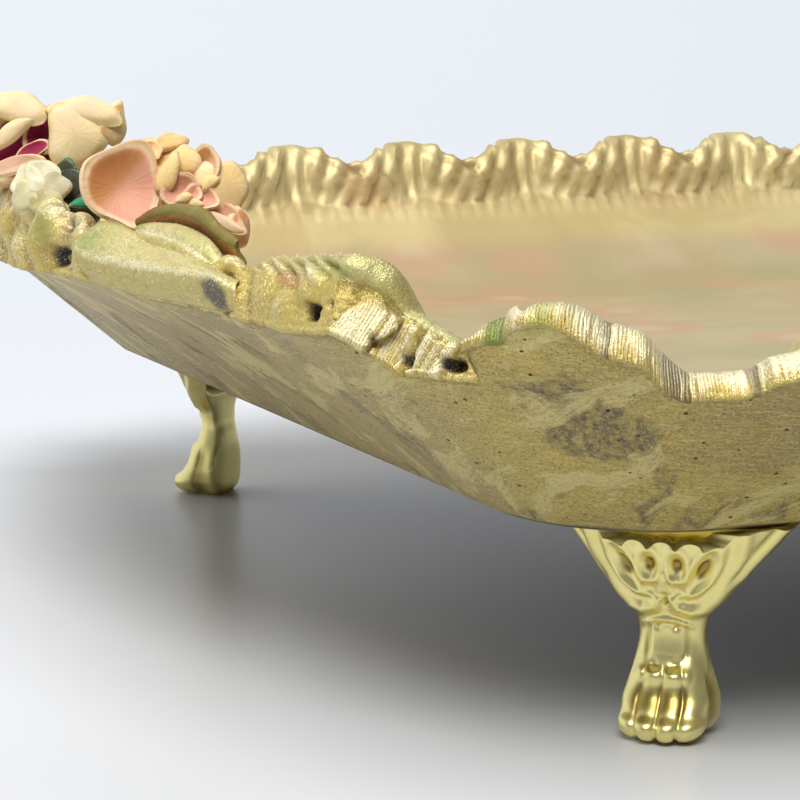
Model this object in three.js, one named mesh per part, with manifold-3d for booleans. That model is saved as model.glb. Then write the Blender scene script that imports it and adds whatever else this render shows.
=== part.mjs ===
// A footed serving tray in a carved rococo style: one gilded resin casting with a scalloped rim, four plated
// paw feet screwed to its underside, and a spray of painted roses glued on the rim at each end.
// Millimetres, +Z up. The origin is on the table, under the middle of the tray. +X runs to one handle end.
import * as THREE from 'three';
import { mergeVertices } from 'three/addons/utils/BufferGeometryUtils.js';
import Module from 'manifold-3d';

const wasm = await Module();
wasm.setup();

// Clearance between pieces that touch on the real tray.
const FIT_GAP = 0.3;

// The feet: where they stand under the base, and the size of each.
const FOOT_SPACING_X = 298;
const FOOT_SPACING_Y = 205;
const FOOT_HEIGHT = 33;
const PAW_HEIGHT = 13;
const PAW_WIDTH = 15;
const PAW_FRONT = 10;
const PAW_BACK = 5;
const TOE_RELIEF = 0.9;
const TOE_COUNT = 4;
const ANKLE_LEVEL = 16.5;
const ANKLE_WIDTH = 10;
const ANKLE_DEPTH = 7.8;
const FAN_LEVEL = 20.5;
const FAN_WIDTH = 36;
const FAN_FRONT = 8.4;
const FAN_BACK = 4;
const WING_SWEEP = 2.5;
const FAN_SHELL = 2;
const PLATE_THICKNESS = 2.2;
const WINDOW_WIDTH = 17;
const WINDOW_DROP = 3.2;

// The screws that hold each foot.
const SCREW_SPACING = 15;
const SCREW_SETBACK = 0.6;
const SCREW_RADIUS = 1.2;
const SCREW_BITE = 4;
const SCREW_HEAD_RADIUS = 2.3;
const SCREW_HEAD_HEIGHT = 1.6;

// The base of the casting.
const FOOT_TO_END = 24;
const FOOT_TO_SIDE = 13;
const BASE_CORNER = 26;
const BASE_EDGE_ROUND = 1.5;
const FLOOR_THICKNESS = 6.5;
const FLOOR_INSET = 3;
const COVE_RUN = 7;

// The walls and the rim.
const RIM_RISE = 25.5;
const SIDE_FLARE = 30;
const END_FLARE = 30;
const HANDLE_BULGE = 12;
const HANDLE_BOW = 3.5;
const EDGE_THICKNESS = 6;
const EDGE_CROWN = 0.7;

// The scallops: lobes along the long sides, a taller one at each corner, and leaf edges along the ends.
const PITCH_LINE_OFFSET = 17;
const LOBES_PER_HALF_SIDE = 5;
const LOBE_SHARE = 0.64;
const LOBE_CLIMB = 12.5;
const CORNER_LOBE_CLIMB = 14.5;
const LOBE_RELIEF = 1.8;
const LEAF_EDGE_CLIMB = 10.5;
const LEAF_EDGE_START = 13;
const LEAF_EDGE_END = 26;
const LEAF_WAVE = 34;
const LEAF_WAVE_CLIMB = 1.4;
const LEAF_RELIEF = 4;

// The roses, blossoms and leaves of one end: how far each is along the rim from the end's middle, how far over
// it from the outer edge, and how deep its foot is let into the surface before it is cut to fit.
const CENTRE_ROSE = { along: 0, over: 11, radius: 15, height: 24.5, sink: 3 };
const SIDE_ROSE = { along: 38, over: 18, radius: 14.5, height: 25, sink: 3 };
const BLOSSOM = { along: 17, over: 6, radius: 6, height: 12, sink: 2 };
const RIM_LEAF = { along: 62, over: 7, length: 42, width: 13, thickness: 4.5, sink: 1.5 };
const ROSE_LEAF = { along: 51, over: 15, length: 24, width: 13, thickness: 4, sink: 1.5 };
const GAP_LEAF = { along: 19, over: 14, length: 15, width: 15, thickness: 8, sink: 1.5 };
const FLOWER_LEAN = 0.3;

// How finely each surface is faceted.
const STATIONS_PER_PITCH = 6;
const FOOT_SIDES = 24;
const FOOT_RINGS = 11;
const SCREW_SIDES = 12;
const FLOWER_SIDES = 20;
const LEAF_STEPS = 9;
const LEAF_SIDES = 8;

// Places worked out from the sizes above.
const BASE_HALF_X = FOOT_SPACING_X / 2 + FOOT_TO_END;
const BASE_HALF_Y = FOOT_SPACING_Y / 2 + FOOT_TO_SIDE;
const UNDERSIDE = FOOT_HEIGHT + FIT_GAP;
const FLOOR = UNDERSIDE + FLOOR_THICKNESS;
const END_RUN = BASE_HALF_Y - BASE_CORNER;
const CORNER_RUN = ((BASE_CORNER + PITCH_LINE_OFFSET) * Math.PI) / 2;
const SIDE_RUN = BASE_HALF_X - BASE_CORNER;
const QUARTER_RUN = END_RUN + CORNER_RUN + SIDE_RUN;
const LOBE_PITCH = SIDE_RUN / LOBES_PER_HALF_SIDE;
const CORNER_CREST = QUARTER_RUN - SIDE_RUN - LOBE_PITCH;

const FINISHES = {
  gilt: new THREE.MeshStandardMaterial({ color: 0x9a8440, roughness: 0.5, metalness: 0.6 }),
  plated: new THREE.MeshStandardMaterial({ color: 0xd9c878, roughness: 0.2, metalness: 1 }),
  steel: new THREE.MeshStandardMaterial({ color: 0xb09a58, roughness: 0.35, metalness: 1 }),
  burgundy: new THREE.MeshStandardMaterial({ color: 0x8e2150, roughness: 0.5 }),
  peach: new THREE.MeshStandardMaterial({ color: 0xe6b08c, roughness: 0.5 }),
  cream: new THREE.MeshStandardMaterial({ color: 0xece6c8, roughness: 0.5 }),
  green: new THREE.MeshStandardMaterial({ color: 0x55682f, roughness: 0.5 }),
};

function clamp01(value) {
  return Math.min(1, Math.max(0, value));
}

// A closed geometry as a solid that can be joined and cut.
function solidOf(geometry) {
  const bare = geometry.clone();
  bare.deleteAttribute('normal');
  bare.deleteAttribute('uv');
  const merged = mergeVertices(bare, 1e-4);
  return new wasm.Manifold(
    new wasm.Mesh({
      numProp: 3,
      vertProperties: merged.attributes.position.array,
      triVerts: new Uint32Array(merged.index.array),
    }),
  );
}

// A solid back as a geometry.
function geometryOf(solid) {
  const mesh = solid.getMesh();
  const positions = new Float32Array(mesh.numVert * 3);
  for (let i = 0; i < mesh.numVert; i++) {
    positions.set(mesh.vertProperties.subarray(i * mesh.numProp, i * mesh.numProp + 3), i * 3);
  }
  const geometry = new THREE.BufferGeometry();
  geometry.setAttribute('position', new THREE.BufferAttribute(positions, 3));
  geometry.setIndex(new THREE.BufferAttribute(mesh.triVerts, 1));
  geometry.computeVertexNormals();
  return geometry;
}

// The largest of a solid's separate bodies.
function largest(solid) {
  return solid.decompose().reduce((best, body) => (body.volume() > best.volume() ? body : best));
}

// A closed skin over rings of points that run anticlockwise seen from above, from the lowest ring onwards,
// with a fan to a middle point at each end.
function skin(rings, firstMiddle, lastMiddle) {
  const count = rings[0].length;
  const points = [...rings.flat(), firstMiddle, lastMiddle];
  const first = rings.length * count;
  const faces = [];
  for (let i = 0; i < count; i++) {
    const next = (i + 1) % count;
    for (let k = 0; k + 1 < rings.length; k++) {
      const low = k * count;
      const high = low + count;
      faces.push(low + i, low + next, high + next, low + i, high + next, high + i);
    }
    const top = (rings.length - 1) * count;
    faces.push(first, next, i, first + 1, top + i, top + next);
  }
  const geometry = new THREE.BufferGeometry().setFromPoints(points);
  geometry.setIndex(faces);
  geometry.computeVertexNormals();
  return geometry;
}

// Where the base's outline is at a distance along a quarter of the pitch line, from the middle of the +X end
// to the middle of the +Y side: the point, its outward direction, and what the rim does there.
function station(run) {
  const corner = (run - END_RUN) / (BASE_CORNER + PITCH_LINE_OFFSET);
  const turn = THREE.MathUtils.clamp(corner, 0, Math.PI / 2);
  const out = new THREE.Vector2(Math.cos(turn), Math.sin(turn));
  const base = new THREE.Vector2(SIDE_RUN, END_RUN).addScaledVector(out, BASE_CORNER);
  base.y -= Math.max(0, END_RUN - run);
  base.x -= Math.max(0, run - END_RUN - CORNER_RUN);
  const handle = Math.cos((Math.PI / 2) * clamp01(run / END_RUN)) ** 1.25;
  const flare = END_FLARE * out.x ** 2 + SIDE_FLARE * out.y ** 2 + HANDLE_BULGE * handle;
  return { base, out, flare, handle, ...scallop(run) };
}

// How far the rim climbs along the wall above its valleys, and how high its carving stands.
function scallop(run) {
  const fromCorner = run - CORNER_CREST;
  if (fromCorner > -LOBE_PITCH / 2) {
    const pitches = fromCorner / LOBE_PITCH;
    const share = Math.abs(pitches - Math.round(pitches)) / (LOBE_SHARE / 2);
    const lobe = share < 1 ? Math.cos((Math.PI / 2) * share) ** 0.7 : 0;
    const reach = pitches < 0.5 ? CORNER_LOBE_CLIMB : LOBE_CLIMB;
    return { climb: reach * lobe, relief: LOBE_RELIEF * lobe };
  }
  const leaf = THREE.MathUtils.smoothstep(-fromCorner, LEAF_EDGE_START, LEAF_EDGE_END);
  const wave = Math.cos((2 * Math.PI * (fromCorner + LEAF_EDGE_END)) / LEAF_WAVE);
  return { climb: leaf * (LEAF_EDGE_CLIMB + LEAF_WAVE_CLIMB * wave), relief: leaf * LEAF_RELIEF * (0.7 + 0.3 * wave) };
}

// The wall's section at a station, as outward distance and height, from the underside over the rim to the
// floor. EDGE is the index of the rim's outer edge in it.
const EDGE = 3;
function section({ flare, climb, relief, handle }) {
  const along = new THREE.Vector2(flare, RIM_RISE).normalize();
  const inwards = new THREE.Vector2(-along.y, along.x);
  const length = Math.hypot(flare, RIM_RISE);
  const wall = (share) => {
    const bow = HANDLE_BOW * handle * 4 * share * (1 - share);
    return new THREE.Vector2(0, UNDERSIDE).addScaledVector(along, share * length).addScaledVector(inwards, bow);
  };
  const edge = wall(1).addScaledVector(along, climb);
  const crown = edge.clone().addScaledVector(inwards, EDGE_THICKNESS / 2).addScaledVector(along, EDGE_CROWN);
  const top = edge.clone().addScaledVector(inwards, EDGE_THICKNESS).add(new THREE.Vector2(0, relief));
  const floorEdge = new THREE.Vector2(-FLOOR_INSET - COVE_RUN, FLOOR);
  const coveBend = new THREE.Vector2(-FLOOR_INSET, FLOOR);
  const inner = new THREE.QuadraticBezierCurve(top, coveBend, floorEdge);
  return [
    new THREE.Vector2(-BASE_EDGE_ROUND, UNDERSIDE),
    wall(0).add(new THREE.Vector2(0, BASE_EDGE_ROUND)),
    wall(0.45),
    edge,
    crown,
    top,
    ...[0.15, 0.4, 0.7, 1].map((share) => inner.getPoint(share)),
  ];
}

// A section grown outwards by the clearance.
function grown(points) {
  return points.map((point, k) => {
    const before = points[Math.max(0, k - 1)];
    const after = points[Math.min(points.length - 1, k + 1)];
    const run = after.clone().sub(before).normalize();
    return point.clone().add(new THREE.Vector2(run.y, -run.x).multiplyScalar(FIT_GAP));
  });
}

function lift({ base, out }, { x, y }) {
  return new THREE.Vector3(base.x + out.x * x, base.y + out.y * x, y);
}

// The stations round the whole tray, anticlockwise from the middle of the +X end.
function stationsAround() {
  const onEnd = Math.round((CORNER_CREST / LOBE_PITCH) * STATIONS_PER_PITCH);
  const onSide = (LOBES_PER_HALF_SIDE + 1) * STATIONS_PER_PITCH;
  const runs = [
    ...Array.from({ length: onEnd }, (_, i) => (CORNER_CREST * i) / onEnd),
    ...Array.from({ length: onSide + 1 }, (_, i) => CORNER_CREST + ((QUARTER_RUN - CORNER_CREST) * i) / onSide),
  ];
  const quarter = runs.map(station);
  const flipped = (stations, x, y) =>
    stations.map((s) => ({
      ...s,
      base: new THREE.Vector2(s.base.x * x, s.base.y * y),
      out: new THREE.Vector2(s.out.x * x, s.out.y * y),
    }));
  return [
    ...quarter,
    ...flipped(quarter.slice(0, -1).reverse(), -1, 1),
    ...flipped(quarter.slice(1), -1, -1),
    ...flipped(quarter.slice(1, -1).reverse(), 1, -1),
  ];
}

// The casting as a solid, as it is or grown by the clearance.
function castingSolid(shape = (points) => points) {
  const around = stationsAround();
  const sections = around.map((s) => shape(section(s)));
  const rings = sections[0].map((_, k) => around.map((s, i) => lift(s, sections[i][k])));
  const low = rings[0][0].z;
  const high = rings.at(-1)[0].z;
  return solidOf(skin(rings, new THREE.Vector3(0, 0, low), new THREE.Vector3(0, 0, high)));
}

// A point of the +X end's rim, signed distance along it from its middle and distance over it inwards from the
// outer edge, with the surface's outward direction there.
function onRim(run, over) {
  const place = (r, o) => {
    const s = station(Math.abs(r));
    const points = section(s).slice(EDGE);
    let left = o;
    let k = 0;
    while (k + 2 < points.length && left > points[k].distanceTo(points[k + 1])) {
      left -= points[k].distanceTo(points[k + 1]);
      k++;
    }
    const step = points[k + 1].clone().sub(points[k]).normalize();
    const point = lift(s, points[k].clone().addScaledVector(step, left));
    point.y *= r < 0 ? -1 : 1;
    return point;
  };
  const reach = 2;
  const point = place(run, over);
  const alongRim = place(run + reach, over).sub(place(run - reach, over));
  const inwards = place(run, over + reach).sub(place(run, Math.max(0, over - reach)));
  return { point, normal: inwards.cross(alongRim).normalize().multiplyScalar(-1) };
}

// Rings of a foot's own section, soles down, front along +X: half a superellipse wider towards its wings.
function footRings(levels) {
  const sections = [
    [0, PAW_FRONT - 1.4, PAW_BACK - 1, PAW_WIDTH / 2 - 1.2],
    [PAW_HEIGHT * 0.22, PAW_FRONT, PAW_BACK, PAW_WIDTH / 2],
    [PAW_HEIGHT * 0.62, (PAW_FRONT + ANKLE_DEPTH / 2) / 2 + 0.8, PAW_BACK - 0.2, PAW_WIDTH / 2 - 0.6],
    [PAW_HEIGHT, ANKLE_DEPTH / 2 + 0.7, (PAW_BACK + ANKLE_DEPTH / 2) / 2, ANKLE_WIDTH / 2 + 0.5],
    [ANKLE_LEVEL, ANKLE_DEPTH / 2, ANKLE_DEPTH / 2, ANKLE_WIDTH / 2],
    [FAN_LEVEL, ANKLE_DEPTH / 2 + 0.5, ANKLE_DEPTH / 2, ANKLE_WIDTH / 2 + 1],
    [(FAN_LEVEL + FOOT_HEIGHT) / 2, (ANKLE_DEPTH / 2 + FAN_FRONT) / 2 + 0.4, FAN_BACK, FAN_WIDTH / 3],
    [FOOT_HEIGHT, FAN_FRONT, FAN_BACK, FAN_WIDTH / 2],
  ];
  const curve = (column) => new THREE.SplineCurve(sections.map((row) => new THREE.Vector2(row[0], row[column])));
  const [front, back, half] = [1, 2, 3].map(curve);
  return levels.map((share) => {
    const level = front.getPoint(share).x;
    return { level, front: front.getPoint(share).y, back: back.getPoint(share).y, half: half.getPoint(share).y };
  });
}

function footSkin(rows, sideways = 0) {
  const rings = rows.map(({ level, front, back, half }) => {
    const fan = clamp01((level - FAN_LEVEL) / (FOOT_HEIGHT - FAN_LEVEL));
    const toes = TOE_RELIEF * clamp01(1 - level / PAW_HEIGHT);
    return Array.from({ length: FOOT_SIDES }, (_, i) => {
      const angle = (2 * Math.PI * (i + 0.5)) / FOOT_SIDES;
      const across = Math.sin(angle);
      const ahead = Math.cos(angle);
      const square = (Math.abs(across) ** 2.6 + Math.abs(ahead) ** 2.6) ** (-1 / 2.6);
      const side = across * square;
      const reach = ahead * square * (ahead > 0 ? front : back);
      const notch = ahead > 0 ? toes * (Math.abs(Math.sin((Math.PI / 2) * TOE_COUNT * (side + 1))) - 1) : 0;
      const sweep = WING_SWEEP * fan * side ** 2;
      return new THREE.Vector3(reach + notch - sweep, side * (half + sideways), level);
    });
  });
  const middle = (k) => new THREE.Vector3(0, 0, rings[k][0].z);
  return skin(rings, middle(0), middle(rings.length - 1));
}

// One paw foot: a paw, an ankle, and a hollow fan with a plate across its top that the screws pass through.
function footSolid() {
  const shares = Array.from({ length: FOOT_RINGS }, (_, k) => k / (FOOT_RINGS - 1));
  const outside = solidOf(footSkin(footRings(shares)));
  const hollowTop = FOOT_HEIGHT - PLATE_THICKNESS;
  const hollowRows = footRings(shares)
    .filter((row) => row.level > FAN_LEVEL)
    .map((row) => ({
      ...row,
      front: row.front - FAN_SHELL,
      back: row.back + 2 * WING_SWEEP,
      half: Math.max(1, row.half - FAN_SHELL),
      level: Math.min(row.level, hollowTop),
    }))
    .filter((row, k, rows) => k === 0 || row.level > rows[k - 1].level);
  const hollow = solidOf(footSkin(hollowRows));
  const windowBox = new THREE.BoxGeometry(2 * FAN_FRONT, WINDOW_WIDTH, 2 * WINDOW_DROP);
  windowBox.translate(FAN_FRONT + FAN_FRONT - FAN_SHELL - FIT_GAP, 0, FOOT_HEIGHT);
  const holes = screwPlaces().map(([x, y]) => screwHole(x, y, hollowTop - FIT_GAP, FOOT_HEIGHT + FIT_GAP));
  return largest([hollow, solidOf(windowBox), ...holes].reduce((foot, cut) => foot.subtract(cut), outside));
}

// Where the two screws of a foot stand, in the foot's own frame.
function screwPlaces() {
  return [-1, 1].map((side) => [-SCREW_SETBACK, (side * SCREW_SPACING) / 2]);
}

function screwHole(x, y, low, high) {
  const bore = new THREE.CylinderGeometry(SCREW_RADIUS + FIT_GAP, SCREW_RADIUS + FIT_GAP, high - low, SCREW_SIDES);
  bore.rotateX(Math.PI / 2);
  bore.translate(x, y, (low + high) / 2);
  return solidOf(bore);
}

// A domed screw, head down, its tip in the casting.
function screwGeometry() {
  const headTop = FOOT_HEIGHT - PLATE_THICKNESS - FIT_GAP;
  const tip = UNDERSIDE + SCREW_BITE;
  const profile = [
    [0, headTop - SCREW_HEAD_HEIGHT],
    [SCREW_HEAD_RADIUS * 0.7, headTop - SCREW_HEAD_HEIGHT * 0.85],
    [SCREW_HEAD_RADIUS, headTop],
    [SCREW_RADIUS, headTop],
    [SCREW_RADIUS, tip - SCREW_RADIUS],
    [0, tip],
  ];
  const lathe = new THREE.LatheGeometry(profile.map(([r, z]) => new THREE.Vector2(r, z)), SCREW_SIDES);
  lathe.rotateX(Math.PI / 2);
  return geometryOf(solidOf(lathe));
}

// The four feet's places and the way each one faces, outwards over its corner.
function footPlaces() {
  return ['front', 'back'].flatMap((side) =>
    ['left', 'right'].map((end) => {
      const x = end === 'left' ? -1 : 1;
      const y = side === 'front' ? -1 : 1;
      return {
        name: `${side}_${end}`,
        position: new THREE.Vector3((x * FOOT_SPACING_X) / 2, (y * FOOT_SPACING_Y) / 2, 0),
        turn: Math.atan2(y, x),
      };
    }),
  );
}

// The casting with the pilot holes for the screws.
function castingWithHoles() {
  return footPlaces().reduce((casting, { position, turn }) => {
    const holes = screwPlaces().map(([x, y]) => {
      const at = new THREE.Vector2(x, y).rotateAround(new THREE.Vector2(), turn);
      return screwHole(position.x + at.x, position.y + at.y, UNDERSIDE - 1, UNDERSIDE + SCREW_BITE + FIT_GAP);
    });
    return holes.reduce((cut, hole) => cut.subtract(hole), casting);
  }, castingSolid());
}

// A flower of petal tiers about +Z: each row is a share of the radius, a share of the height and how deeply
// the petals of that tier part.
const ROSE_TIERS = [
  [0.45, 0, 0],
  [0.62, 0.2, 0.02],
  [0.95, 0.46, 0.06],
  [1, 0.56, 0.08],
  [0.82, 0.54, 0.05],
  [0.75, 0.8, 0.07],
  [0.54, 0.7, 0.05],
  [0.46, 0.98, 0.06],
  [0.22, 0.84, 0.02],
  [0.02, 0.94, 0],
];
const BLOSSOM_TIERS = [
  [0.4, 0, 0],
  [0.9, 0.5, 0.16],
  [1, 0.66, 0.2],
  [0.36, 0.6, 0.05],
  [0.3, 0.9, 0],
  [0.05, 1, 0],
];
const PETALS = 5;
function flowerSolid(tiers, radius, height) {
  const rings = tiers.map(([r, z, parting], k) =>
    Array.from({ length: FLOWER_SIDES }, (_, i) => {
      const angle = (2 * Math.PI * i) / FLOWER_SIDES;
      const petal = Math.cos(PETALS * angle + (k >> 1) * Math.PI);
      const reach = radius * r * (1 + parting * petal);
      return new THREE.Vector3(reach * Math.cos(angle), reach * Math.sin(angle), height * (z + 0.4 * parting * petal));
    }),
  );
  return solidOf(skin(rings, new THREE.Vector3(), new THREE.Vector3(0, 0, height * tiers.at(-1)[1])));
}

// A flower seated on the rim, leaning from upright towards the slope that it sits on, or grown all round.
function seatedFlower(tiers, { along, over, radius, height, sink }, side, growth) {
  const { point, normal } = onRim(side * along, over);
  const axis = new THREE.Vector3(0, 0, 1).lerp(normal, FLOWER_LEAN).normalize();
  const turn = new THREE.Quaternion().setFromUnitVectors(new THREE.Vector3(0, 0, 1), axis);
  const foot = point.addScaledVector(axis, -sink - growth);
  const place = new THREE.Matrix4().compose(foot, turn, new THREE.Vector3(1, 1, 1));
  return flowerSolid(tiers, radius + growth, height + 2 * growth).transform(place.toArray());
}

// A leaf that lies along the rim, or grown all round: lens-shaped sections over the carved surface, drawn in to
// a point at each end.
function seatedLeaf({ along, over, length, width, thickness, sink }, side, growth) {
  const reach = length + 2 * growth;
  const rings = Array.from({ length: LEAF_STEPS }, (_, k) => {
    const share = (k + 0.5) / LEAF_STEPS;
    const fullness = Math.sin(Math.PI * share) ** 0.7;
    return Array.from({ length: LEAF_SIDES }, (_, i) => {
      const angle = (2 * Math.PI * i) / LEAF_SIDES;
      const across = side * Math.cos(angle) * (fullness * (width / 2) + growth);
      const { point, normal } = onRim(side * (along + (share - 0.5) * reach), over + across);
      const rise = Math.sin(angle) > 0 ? fullness * thickness + growth : sink + growth;
      return point.addScaledVector(normal, rise * Math.sin(angle));
    });
  });
  const tip = (share) => onRim(side * (along + (share - 0.5) * reach), over).point;
  return solidOf(skin(rings, tip(0), tip(1)));
}

// The pieces of the spray on the +X end, each cut clear of the casting and of the pieces laid before it.
function sprayPieces() {
  const rim = castingSolid(grown);
  const laid = [];
  const lay = (kind, side, finish, shaped) => {
    const cut = laid.reduce((piece, other) => piece.subtract(other.room), shaped(0).subtract(rim));
    laid.push({ kind, side, finish, solid: largest(cut), room: shaped(FIT_GAP) });
  };
  lay('centre_rose', 0, 'burgundy', (growth) => seatedFlower(ROSE_TIERS, CENTRE_ROSE, 1, growth));
  for (const side of [-1, 1]) {
    lay('rose', side, 'peach', (growth) => seatedFlower(ROSE_TIERS, SIDE_ROSE, side, growth));
  }
  for (const side of [-1, 1]) {
    lay('blossom', side, 'cream', (growth) => seatedFlower(BLOSSOM_TIERS, BLOSSOM, side, growth));
    lay('rose_leaf', side, 'green', (growth) => seatedLeaf(ROSE_LEAF, side, growth));
    lay('gap_leaf', side, 'green', (growth) => seatedLeaf(GAP_LEAF, side, growth));
    lay('rim_leaf', side, 'gilt', (growth) => seatedLeaf(RIM_LEAF, side, growth));
  }
  return laid;
}

function named(name, geometry, finish) {
  const mesh = new THREE.Mesh(geometry, FINISHES[finish]);
  mesh.name = name;
  return mesh;
}

const tray = new THREE.Group();
tray.add(named('tray_casting', geometryOf(castingWithHoles()), 'gilt'));

const footGeometry = geometryOf(footSolid());
const screw = screwGeometry();
for (const { name, position, turn } of footPlaces()) {
  const foot = new THREE.Group();
  foot.position.copy(position);
  foot.rotation.z = turn;
  foot.add(named(`${name}_foot`, footGeometry, 'plated'));
  screwPlaces().forEach(([x, y], i) => {
    const fastener = named(`${name}_foot_screw_${i + 1}`, screw, 'steel');
    fastener.position.set(x, y, 0);
    foot.add(fastener);
  });
  tray.add(foot);
}

// The left end's spray is the right end's, turned half round, so its front and back pieces change over.
const pieces = sprayPieces();
for (const [end, facing] of Object.entries({ left: -1, right: 1 })) {
  const spray = new THREE.Group();
  spray.rotation.z = facing > 0 ? 0 : Math.PI;
  for (const { kind, side, finish, solid } of pieces) {
    const place = { '-1': '_front', 0: '', 1: '_back' }[side * facing];
    spray.add(named(`${end}${place}_${kind}`, geometryOf(solid), finish));
  }
  tray.add(spray);
}

export default tray;
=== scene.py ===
"""Looks of a footed serving tray: gilded scalloped casting, ribbed rim, plated paw feet and painted roses.

Every shape is worked out in millimetres and put into its mesh in metres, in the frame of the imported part.
"""

import math

import bpy
import numpy as np
from bpy.props import FloatProperty, FloatVectorProperty, IntProperty, PointerProperty
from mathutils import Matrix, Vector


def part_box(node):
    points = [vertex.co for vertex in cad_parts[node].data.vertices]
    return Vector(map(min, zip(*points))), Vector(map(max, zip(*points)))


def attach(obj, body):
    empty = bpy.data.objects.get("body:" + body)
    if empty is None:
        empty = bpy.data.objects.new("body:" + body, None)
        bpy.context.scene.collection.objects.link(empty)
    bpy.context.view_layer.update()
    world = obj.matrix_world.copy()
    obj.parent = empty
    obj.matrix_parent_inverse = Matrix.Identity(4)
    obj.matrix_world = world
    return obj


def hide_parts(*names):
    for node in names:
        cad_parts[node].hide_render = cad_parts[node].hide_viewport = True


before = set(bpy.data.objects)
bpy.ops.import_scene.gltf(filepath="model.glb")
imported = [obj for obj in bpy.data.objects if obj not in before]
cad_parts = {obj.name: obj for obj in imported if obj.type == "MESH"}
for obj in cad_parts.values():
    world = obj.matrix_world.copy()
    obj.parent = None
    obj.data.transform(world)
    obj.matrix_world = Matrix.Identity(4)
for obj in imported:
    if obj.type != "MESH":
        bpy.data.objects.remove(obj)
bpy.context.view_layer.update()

bl_info = {
    "name": "Footed rose tray",
    "version": (1, 0, 0),
    "blender": (4, 5, 0),
    "location": "View3D > Sidebar > Tray",
    "description": "Builds the looks of a gilded footed tray with painted roses",
    "category": "Object",
}

MM = 0.001
TURN = 2 * math.pi
SEED = 7
# Each end's way along X and each side's way along Y.
ENDS = {"left": -1, "right": 1}
SIDES = {"front": -1, "back": 1}


def size(name, text, millimetres):
    """A length that a user can change, held in metres."""
    return FloatProperty(name=name, description=text, default=millimetres * MM, unit="LENGTH", precision=4)


def tone(name, text, rgb):
    """A colour that a user can change, as linear red, green and blue."""
    return FloatVectorProperty(name=name, description=text, default=rgb, subtype="COLOR", size=3, min=0, max=1)


class TraySizes(bpy.types.PropertyGroup):
    """Sizes of the tray, the same as the part's own."""

    foot_height: size("Foot height", "From the table to the foot's top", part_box("front_left_foot")[1][2] / MM)
    foot_spacing_x: size("Foot spacing, long", "Between the ankles along the tray", 298)
    foot_spacing_y: size("Foot spacing, short", "Between the ankles across the tray", 205)
    base_half_x: size("Half base length", "From the middle to the end of the base", 173)
    base_half_y: size("Half base width", "From the middle to the side of the base", 115.5)
    base_corner: size("Base corner", "Radius of the base's corners", 26)
    underside: size("Underside", "Height of the casting's underside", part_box("tray_casting")[0][2] / MM)
    floor_thickness: size("Floor thickness", "Thickness of the serving floor", 6.5)
    rim_rise: size("Rim rise", "From the underside to the rim's valleys", 25.5)
    side_flare: size("Side flare", "How far the long walls lean out", 30)
    end_flare: size("End flare", "How far the end walls lean out", 30)
    handle_bulge: size("Handle bulge", "How much further the middle of each end leans out", 12)
    edge_thickness: size("Edge thickness", "Thickness of the wall at the rim", 6)
    lobe_climb: size("Lobe climb", "How far a lobe climbs along the wall", 13)
    corner_climb: size("Corner lobe climb", "How far a corner lobe climbs along the wall", 16.8)
    rib_pitch: size("Rib pitch", "Between the fine ribs across the rim", 0.52)
    lobes: IntProperty(name="Lobes", description="Whole lobes along each half of a long side", default=5, min=1)


class TrayColours(bpy.types.PropertyGroup):
    """Colours of the tray's finishes."""

    gold: tone("Gold", "Antique gold paint", (0.58, 0.44, 0.10))
    pale_gold: tone("Pale gold", "Brushed highlights of the gold paint", (0.68, 0.58, 0.25))
    bright_gold: tone("Bright gold", "Gold low on the ribbed rim", (0.62, 0.48, 0.13))
    # Painted highlight: the near-white top of the ribbed rim.
    top_highlight_gold: tone("Light gold", "Gold on top of the ribbed rim", (0.97, 0.89, 0.57))
    patina: tone("Patina", "Charcoal patina in the hollows", (0.10, 0.085, 0.078))
    plating: tone("Plating", "Champagne plating of the feet", (0.89, 0.79, 0.33))
    leaf_gold: tone("Leaf gold", "Pale gold of the rim's leaves", (0.67, 0.58, 0.25))
    cove: tone("Cove", "Pale gold of the inner walls", (0.53, 0.415, 0.19))
    cream: tone("Cream", "Cream of the petal edges", (0.90, 0.76, 0.40))
    burgundy: tone("Burgundy", "Inside of the middle roses", (0.33, 0.012, 0.075))
    peach: tone("Peach", "Inside of the side roses", (0.74, 0.36, 0.24))
    # Painted shade on the petals, in their gaps and on their backs.
    ochre: tone("Ochre", "Shading of the petals", (0.56, 0.23, 0.04))
    white: tone("White", "Blossoms", (0.74, 0.70, 0.47))
    leaf_green: tone("Leaf green", "Painted leaves", (0.21, 0.165, 0.025))
    emerald: tone("Emerald", "Touches on the leaves", (0.02, 0.30, 0.15))
    rust: tone("Rust", "Tints on the carved edges", (0.50, 0.14, 0.05))
    blush: tone("Blush", "Petals painted on the floor", (0.62, 0.30, 0.20))
    ground: tone("Ground", "Ground of the serving floor", (0.47, 0.38, 0.205))
    table: tone("Table", "The table under the tray", (0.635, 0.645, 0.67))


# Helpers on arrays


def smooth(low, high, x):
    """0 below low, 1 above high and an even S between them; low may be the greater."""
    share = np.clip((x - low) / (high - low), 0, 1)
    return share * share * (3 - 2 * share)


def hump(x):
    """A round hump: 1 at 0, falling to 0 at 1 either way, as the square of 1 - x squared."""
    return np.clip(1 - np.square(x), 0, None) ** 2


def bell(x):
    """A bell: exp of minus x squared."""
    return np.exp(-np.square(x))


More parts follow.
